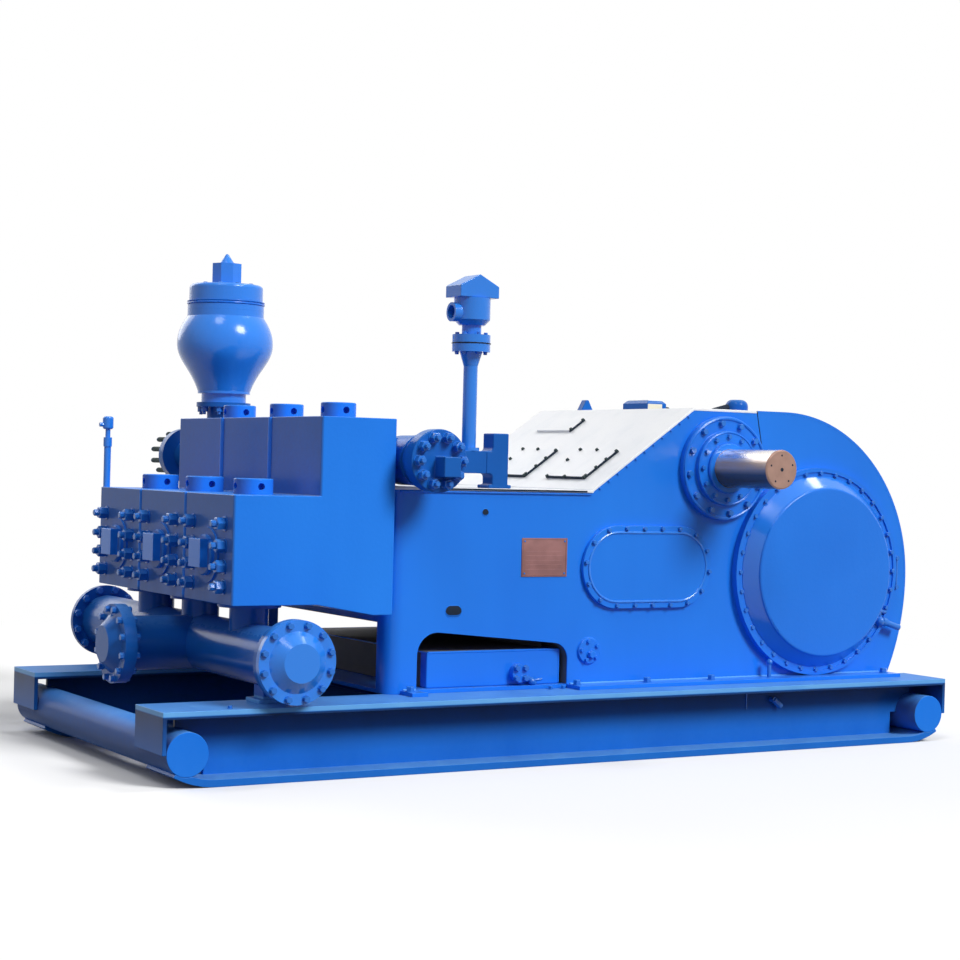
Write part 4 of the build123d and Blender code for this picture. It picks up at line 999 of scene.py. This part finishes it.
# %% Roof details
LID_INSET, LID_THICK = (0.022, 0.020), 0.003
STRIP_INSETS, STRIP_FOOT, STRIP_TOP, STRIP_THICK = (0.004, 0.030), 0.006, 0.035, 0.003
STOP_REACH, STOP_INSET, STOP_TOP, STOP_ROUND = 0.040, 0.020, 0.022, 0.014
HUMP_START, HUMP_END, HUMP_RADII = (3.36, -0.44, 1.781), (3.50, -0.455, 1.800), (0.006, 0.026)
HOOD_SEAM, SEAM_RADIUS = [(3.457, 1.779), (3.470, 1.712), (3.484, 1.644), (3.498, 1.576)], 0.0028
low, high = span("top_hatch")
lid = block((low[0] + LID_INSET[0], low[1] + LID_INSET[1], high[2]),
            (high[0] - LID_INSET[0], high[1] - LID_INSET[1], high[2] + LID_THICK))
strips = [block((low[0] + STRIP_INSETS[0], y, low[2] + STRIP_FOOT),
                (high[0] - STRIP_INSETS[1], y + STRIP_THICK, low[2] + STRIP_TOP))
          for y in (low[1] - STRIP_THICK / 2, high[1] - STRIP_THICK / 2)]
piece("hatch_lid", lid, pale)
piece("hatch_strips", join(*strips), cream)
hump = tube(np.linspace(HUMP_START, HUMP_END, 12), np.linspace(*HUMP_RADII, 12), 12)
stop = block((high[0], low[1] + STOP_INSET, low[2]),
             (high[0] + STOP_REACH, high[1] - STOP_INSET, low[2] + STOP_TOP), STOP_ROUND)
seams = [tube(on_wall(HOOD_SEAM, side), SEAM_RADIUS, 6, reference=FARWARD) for side in (-1, 1)]
piece("roof_seams", join(hump, stop, *seams), gap)

# %% [markdown]
# ## The data plate
# A thin copper plate is riveted to the housing. Its fields are left empty: raised lines divide
# it, and a rolled border keeps its edge flat.

# %% Data plate
PLATE_CENTRE = (2.1295, 0.9985)
PLATE_SIZE = (0.269, 0.193)
PLATE_THICK, BORDER_INSET, RIVET_INSET = 0.004, 0.007, 0.016
BORDER_BEAD, LINE_BEAD = 0.0018, 0.0010
LINE_HALF, LINE_HEIGHTS = 0.112, np.linspace(-0.060, 0.030, 5)
half = np.array(PLATE_SIZE) / 2
corners = np.array([(-1, -1), (1, -1), (1, 1), (-1, 1)])


def on_plate(points):
    """(x, y) points on the face of the plate, which lies on Z = 0 until it is hung."""
    return np.insert(np.asarray(points, float), 2, PLATE_THICK, axis=1)


border = on_plate(corners * (half - BORDER_INSET))[[0, 1, 2, 3, 0]]
lines = [tube(border[i:i + 2], BORDER_BEAD, 6) for i in range(4)]
for height in LINE_HEIGHTS:
    line = on_plate([(-LINE_HALF, height), (LINE_HALF, height)])
    lines.append(tube(line, LINE_BEAD, 6, reference=(0, 1, 0.2)))
rivets = copies(disc(0.005, 0.003, 0.0015, 12), on_plate(corners * (half - RIVET_INSET)), UP)
at_plate = on_wall(PLATE_CENTRE, -1)
plate = join(slab(corners * half, PLATE_THICK, 0.001), *lines)
piece("data_plate", copies(plate, at_plate, NEARWARD), plate_copper)
piece("plate_rivets", copies(rivets, at_plate, NEARWARD), bolt_blue)

# %% [markdown]
# ## Openings in the side walls
# A lifting hole and an oval hand hole go through each wall near the crossheads, and a small
# round cover closes the crosshead drain. A rolled lip round a dark face, a painted shade for the hole's
# depth, reads as a hole. The dark stops short of the lower edge, where the cut wall itself shows.

# %% Holes and the drain cover
OVAL_CENTRE, OVAL_SIZE = (1.612, 0.735), (0.092, 0.058)
HOLE_CENTRE, HOLE_RADIUS = (1.779, 1.219), 0.019
DRAIN_CENTRE, DRAIN_RADIUS, DRAIN_PLATE = np.array([2.409, 0.524]), 0.066, 0.014
DRAIN_RING, DRAIN_SCREW = (0.049, 5), (0.006, -0.018)
SILL_THICK, DARK_THICK, DARK_SHARE = 0.0010, 0.0014, 0.80
HOLE_BEAD, DRAIN_BEAD = 0.0022, 0.003
angle = np.arange(32) * math.pi / 16
circle = np.stack([np.cos(angle), np.sin(angle)], 1)
dark, sills, lips, covers = [], [], [], []
for side in (-1, 1):
    out = (0, side, 0)
    for centre, outline in ((OVAL_CENTRE, stadium(*OVAL_SIZE, 32)), (HOLE_CENTRE, circle * HOLE_RADIUS)):
        sills.append(copies(slab(outline, SILL_THICK, 0.0003), on_wall(centre, side), out))
        above = (1 - DARK_SHARE) / 2 * np.ptp(outline[:, 1])
        # Painted shade: a dark face inside the lip stands for the hole.
        shade = slab(outline * [1.0, DARK_SHARE], DARK_THICK, 0.0003)
        dark.append(copies(shade, on_wall([centre[0], centre[1] + above], side), out))
        lips.append(tube(on_wall(centre + outline, side), HOLE_BEAD, 6, FARWARD, closed=True))
    covers.append(copies(disc(DRAIN_RADIUS, DRAIN_PLATE, 0.004, 40), on_wall(DRAIN_CENTRE, side), out))
    face = on_wall(DRAIN_CENTRE, side, DRAIN_PLATE)[0]
    covers.append(bolted(hex_bolt(0.018), face, *DRAIN_RING, out, 30))
    screw = on_wall(DRAIN_CENTRE + DRAIN_SCREW, side, DRAIN_PLATE)
    covers.append(copies(hex_bolt(0.034), screw, out))
    rim = on_wall(DRAIN_CENTRE + circle * (DRAIN_RADIUS + 0.001), side)
    lips.append(tube(rim, DRAIN_BEAD, 6, FARWARD, closed=True))
piece("wall_holes", join(*dark), gap)
piece("hole_sills", join(*sills), shade_blue)
piece("hole_lips", join(*lips), plate_blue)
piece("drain_covers", join(*covers), cast_blue)

# %% [markdown]
# ## Small fittings
# A working pump carries little pipe fittings: a drain tap under the crank case, a sight gauge
# for its oil beside the crank cover, a valve on the wash tank, a grease post behind the foot and
# a grease point on the sled. Each is a few rods and balls, measured from one place of its own.

# %% Taps, gauge and grease points
DRAIN_TAP = (4.322, -0.790, 0.645)
GAUGE_FOOT, GAUGE_HEIGHT, GAUGE_OUT = (4.457, -WALL, 0.831), 0.162, -0.022
TANK_VALVE = (2.084, -0.727, 0.378)
GREASE_POST = (3.540, -0.800, 0.440)
GREASE_POINT = (3.498, -0.895, 0.254)
BEAM_SPLICE = (3.330, -0.876, 0.285)
TANK_COVER, TANK_COVER_RING = (2.010, 0.421), (0.036, 4)
TANK_BOLTS = [(2.170, -0.770, 0.340), (2.245, -0.770, 0.340)]
FRONT_BOLT = (0.335, -0.980, 0.340)


def ball(centre, radius, steps=16):
    """A sphere: r = R sin t, h = -R cos t, with t from pole to pole."""
    t = np.linspace(0.12, math.pi - 0.12, 9)
    points, faces = turned(np.stack([radius * np.sin(t), -radius * np.cos(t)], 1), steps)
    return points + np.asarray(centre), faces


def rods(base, *rows):
    """Round bars, each a (start, end, radius) row with its ends measured from the base."""
    return [pipe(np.add(base, start), np.add(base, end), radius) for start, end, radius in rows]


drain_tap = rods(DRAIN_TAP, ((0, -DRAIN_TAP[1] - WALL, 0), (0, -0.010, 0), 0.016),
                 ((0.013, 0, 0), (0.040, 0, -0.008), 0.025),
                 ((0.028, 0, -0.005), (0.140, 0, -0.038), 0.017),
                 ((0, 0, 0.015), (0, 0, 0.053), 0.008),
                 ((-0.030, -0.006, 0.061), (0.044, 0.006, 0.049), 0.010))
gauge = rods(GAUGE_FOOT, ((0, GAUGE_OUT, 0), (0, GAUGE_OUT, GAUGE_HEIGHT), 0.007),
             ((0, 0, 0), (0, -0.034, 0), 0.012),
             ((0, 0, GAUGE_HEIGHT), (0, -0.034, GAUGE_HEIGHT), 0.012),
             ((-0.005, -0.016, 0.164), (-0.047, -0.036, 0.173), 0.007))
gauge_ends = [GAUGE_FOOT, np.add(GAUGE_FOOT, (0, 0, GAUGE_HEIGHT))]
tank_valve = rods(TANK_VALVE, ((-0.032, 0.027, 0.026), (-0.032, -0.001, 0.026), 0.016),
                  ((-0.044, 0.003, 0.034), (0.016, -0.001, -0.012), 0.014),
                  ((0.010, -0.003, 0.006), (0.054, -0.007, 0.010), 0.007),
                  ((0, 0, 0), (0, 0, -0.038), 0.008))
grease_post = rods(GREASE_POST, ((0, 0, FOOT_TOP - GREASE_POST[2]), (0, 0, -0.008), 0.011))
grease_point = rods(GREASE_POINT, ((0, 0.023, -0.002), (0, -0.010, -0.002), 0.014),
                    ((0, 0, 0), (0.047, 0, -0.038), 0.018))
splice = rods(BEAM_SPLICE, ((0, 0, 0), (0, 0, -0.079), 0.004))
balls = [ball(DRAIN_TAP, 0.027), ball(TANK_VALVE, 0.020), ball(GREASE_POST, 0.017)]
tank_front = (TANK_COVER[0], span("wash_tank_cover")[0][1], TANK_COVER[1])
heads = [copies(hex_bolt(0.032), gauge_ends, NEARWARD),
         copies(hex_bolt(0.026), ring(tank_front, *TANK_COVER_RING, NEARWARD, 45), NEARWARD),
         copies(hex_bolt(0.022), TANK_BOLTS, UP), copies(hex_bolt(0.020), FRONT_BOLT, UP)]
piece("small_fittings", join(*drain_tap, *gauge, *tank_valve, *grease_post, *grease_point, *splice,
                             *balls, *heads), bolt_blue)

# %% [markdown]
# ## The dark inside of the housing
# The front of the housing is hollow under the crossheads, and its inside lies in deep shade.
# Thin sheets just off the inner faces carry a dark painted shade and leave the outside blue: over the
# ceiling, the rear wall, the jamb of the tunnel and the top and front of the wash tank.

# %% Dark linings
HAIR = 0.0008
INNER, OUTER = 0.630, 0.736
FLOOR_LINE = 0.362
CEILING = [(2.197, 0.558), (1.252, 0.682)]
REAR_WALL_X, REAR_WALL_TOP = 2.198, 0.560
TANK_FRONT_HALF, TANK_FRONT_TOP, TANK_TOP_END = 0.64, 0.528, 2.190
TUNNEL_BACK, CORNER_CENTRE, CORNER_RADIUS = 2.2832, (2.199, 0.4838), 0.0842
TANK_EDGE, TANK_EDGE_FOOT, EDGE_INSET, TOP_INSET = 0.0065, 0.366, (0.006, 0.004, 0.004), 0.012


def sheet(path, reach):
    """A sheet along an XZ path, from -reach to reach in Y, with a hair of thickness to its left."""
    path = np.asarray(path, float)
    inner = path + left_of(np.gradient(path, axis=0)) * HAIR
    section = np.stack([path, path, inner, inner], 1)
    y = np.broadcast_to([-reach, reach, reach, -reach], section.shape[:2])
    return np.stack([section[..., 0], y, section[..., 1]], -1).reshape(-1, 3), walls(len(path), 4)


low, high = span("wash_tank")
bend = np.radians(np.linspace(0, 84.5, 9))
corner = np.array(CORNER_CENTRE) + CORNER_RADIUS * np.stack([np.cos(bend), np.sin(bend)], 1)
tank_top = block((low[0] + EDGE_INSET[0], low[1] + TOP_INSET, high[2]),
                 (TANK_TOP_END, high[1] - TOP_INSET, high[2] + 1.5 * HAIR), 0.0003)
linings = [
    sheet([(TUNNEL_BACK, FLOOR_LINE), *corner], OUTER),
    sheet(CEILING, INNER),
    sheet([(REAR_WALL_X, FLOOR_LINE), (REAR_WALL_X, REAR_WALL_TOP)], INNER),
    sheet([(low[0], FLOOR_LINE), (low[0], TANK_FRONT_TOP)], TANK_FRONT_HALF),
]
# Painted shade: dark sheets inside the housing.
piece("dark_linings", join(tank_top, *linings), painted_shade_lining)
front, near, _bottom = low + EDGE_INSET
back, far, top = high - EDGE_INSET
tank_edges = []
for y in (near, far):
    tank_edges.append(pipe((front, y, top), (back, y, top), TANK_EDGE, 10))
    tank_edges.append(pipe((back, y, TANK_EDGE_FOOT), (back, y, top), TANK_EDGE, 10))
piece("tank_edges", join(*tank_edges), plate_blue)

# %% [markdown]
# ## The studio
# The floor and the air around are white, as on a product page. White for the camera shouldn't
# mean glare on the pump, so both use Light Path: camera and mirror rays see white, and the rays
# that light the pump meet a plain grey. Far out, the floor fades into the sky.

# %% Floor
FLOOR_REACH, FLOOR_THICK, FLOOR_MIDDLE = 90.0, 0.05, (2.3, 0, 0)
FLOOR_GREY, FLOOR_WHITE = (0.17, 0.17, 0.17), (0.93, 0.93, 0.93)
FADE = (3.4, 7.0)


def seen_or_mirrored(recipe):
    """1 for camera, glossy and transmission rays."""
    rays = [recipe.node("LightPath", output=kind)
            for kind in ("Is Camera Ray", "Is Glossy Ray", "Is Transmission Ray")]
    return (rays[0] + rays[1] + rays[2]).held()


points, faces = turned([(FLOOR_REACH, 0.0), (FLOOR_REACH, -FLOOR_THICK)], 96)
floor_mesh = bpy.data.meshes.new("floor")
floor_mesh.from_pydata((points + HOME + FLOOR_MIDDLE).tolist(), [], [c for f in faces for c in f.tolist()])
floor = bpy.data.objects.new("floor", floor_mesh)
bpy.context.scene.collection.objects.link(floor)
paper = Recipe(bpy.data.materials.new("floor paper"))
white = seen_or_mirrored(paper)
matt = paper.principled({"Base Color": paper.mixed(white, FLOOR_GREY, FLOOR_WHITE), "Roughness": 0.9,
                         "Specular IOR Level": 0.0})
glow = paper.node("Emission", {}, {"Strength": 1.0})
flat = paper.node("VectorMath", {"operation": "MULTIPLY"}, {0: paper.place(), 1: (1, 1, 0)})
away = paper.node("VectorMath", {"operation": "LENGTH"}, {0: flat}, "Value")
fade = paper.step(away, *FADE) * white
floor_mesh.materials.append(paper.shown(paper.node("MixShader", {}, {0: fade, 1: matt, 2: glow})))
print("floor reach", FLOOR_REACH, "m")

# %% [markdown]
# ## Light
# The sky is a faint even light. The key sun stands high on the near side, so tops and near
# faces are bright, the front faces stay in half shade, which shows the steps of the fluid end,
# and the floor gets its one shadow. Two small suns from above glint on what slopes to the back
# and to the front, and two weak ones open the shadows at the front and on the far side.

# %% Sky and lamps
SKY_LIGHT = 0.24
world = bpy.data.worlds.new("studio")
bpy.context.scene.world = world
sky = Recipe(world, "OutputWorld")
faint, bright = (sky.node("Background", {}, {"Color": (1, 1, 1, 1), "Strength": strength})
                 for strength in (SKY_LIGHT, 1.0))
sky.shown(sky.node("MixShader", {}, {0: seen_or_mirrored(sky), 1: faint, 2: bright}))


def sun(name, energy, towards, angle):
    """A sun whose light travels along the `towards` direction and seems `angle` degrees wide."""
    data = bpy.data.lights.new(name, "SUN")
    data.energy = energy
    data.angle = math.radians(angle)
    made = bpy.data.objects.new(name, data)
    made.rotation_mode = "QUATERNION"
    made.rotation_quaternion = Vector(towards).to_track_quat("-Z", "Y")
    bpy.context.scene.collection.objects.link(made)


sun("key", 2.78, (-0.27, 0.74, -0.62), 20)
sun("glint from behind", 0.42, (-0.514, 0.03, -0.857), 10)
sun("glint from above", 0.52, (0.36, 0.30, -0.88), 17)
sun("front fill", 0.07, (0.95, 0.10, -0.30), 50)
sun("far fill", 0.70, (0.15, -0.90, -0.42), 40)
bpy.context.scene.view_settings.view_transform = "Standard"
print("sky light", SKY_LIGHT)
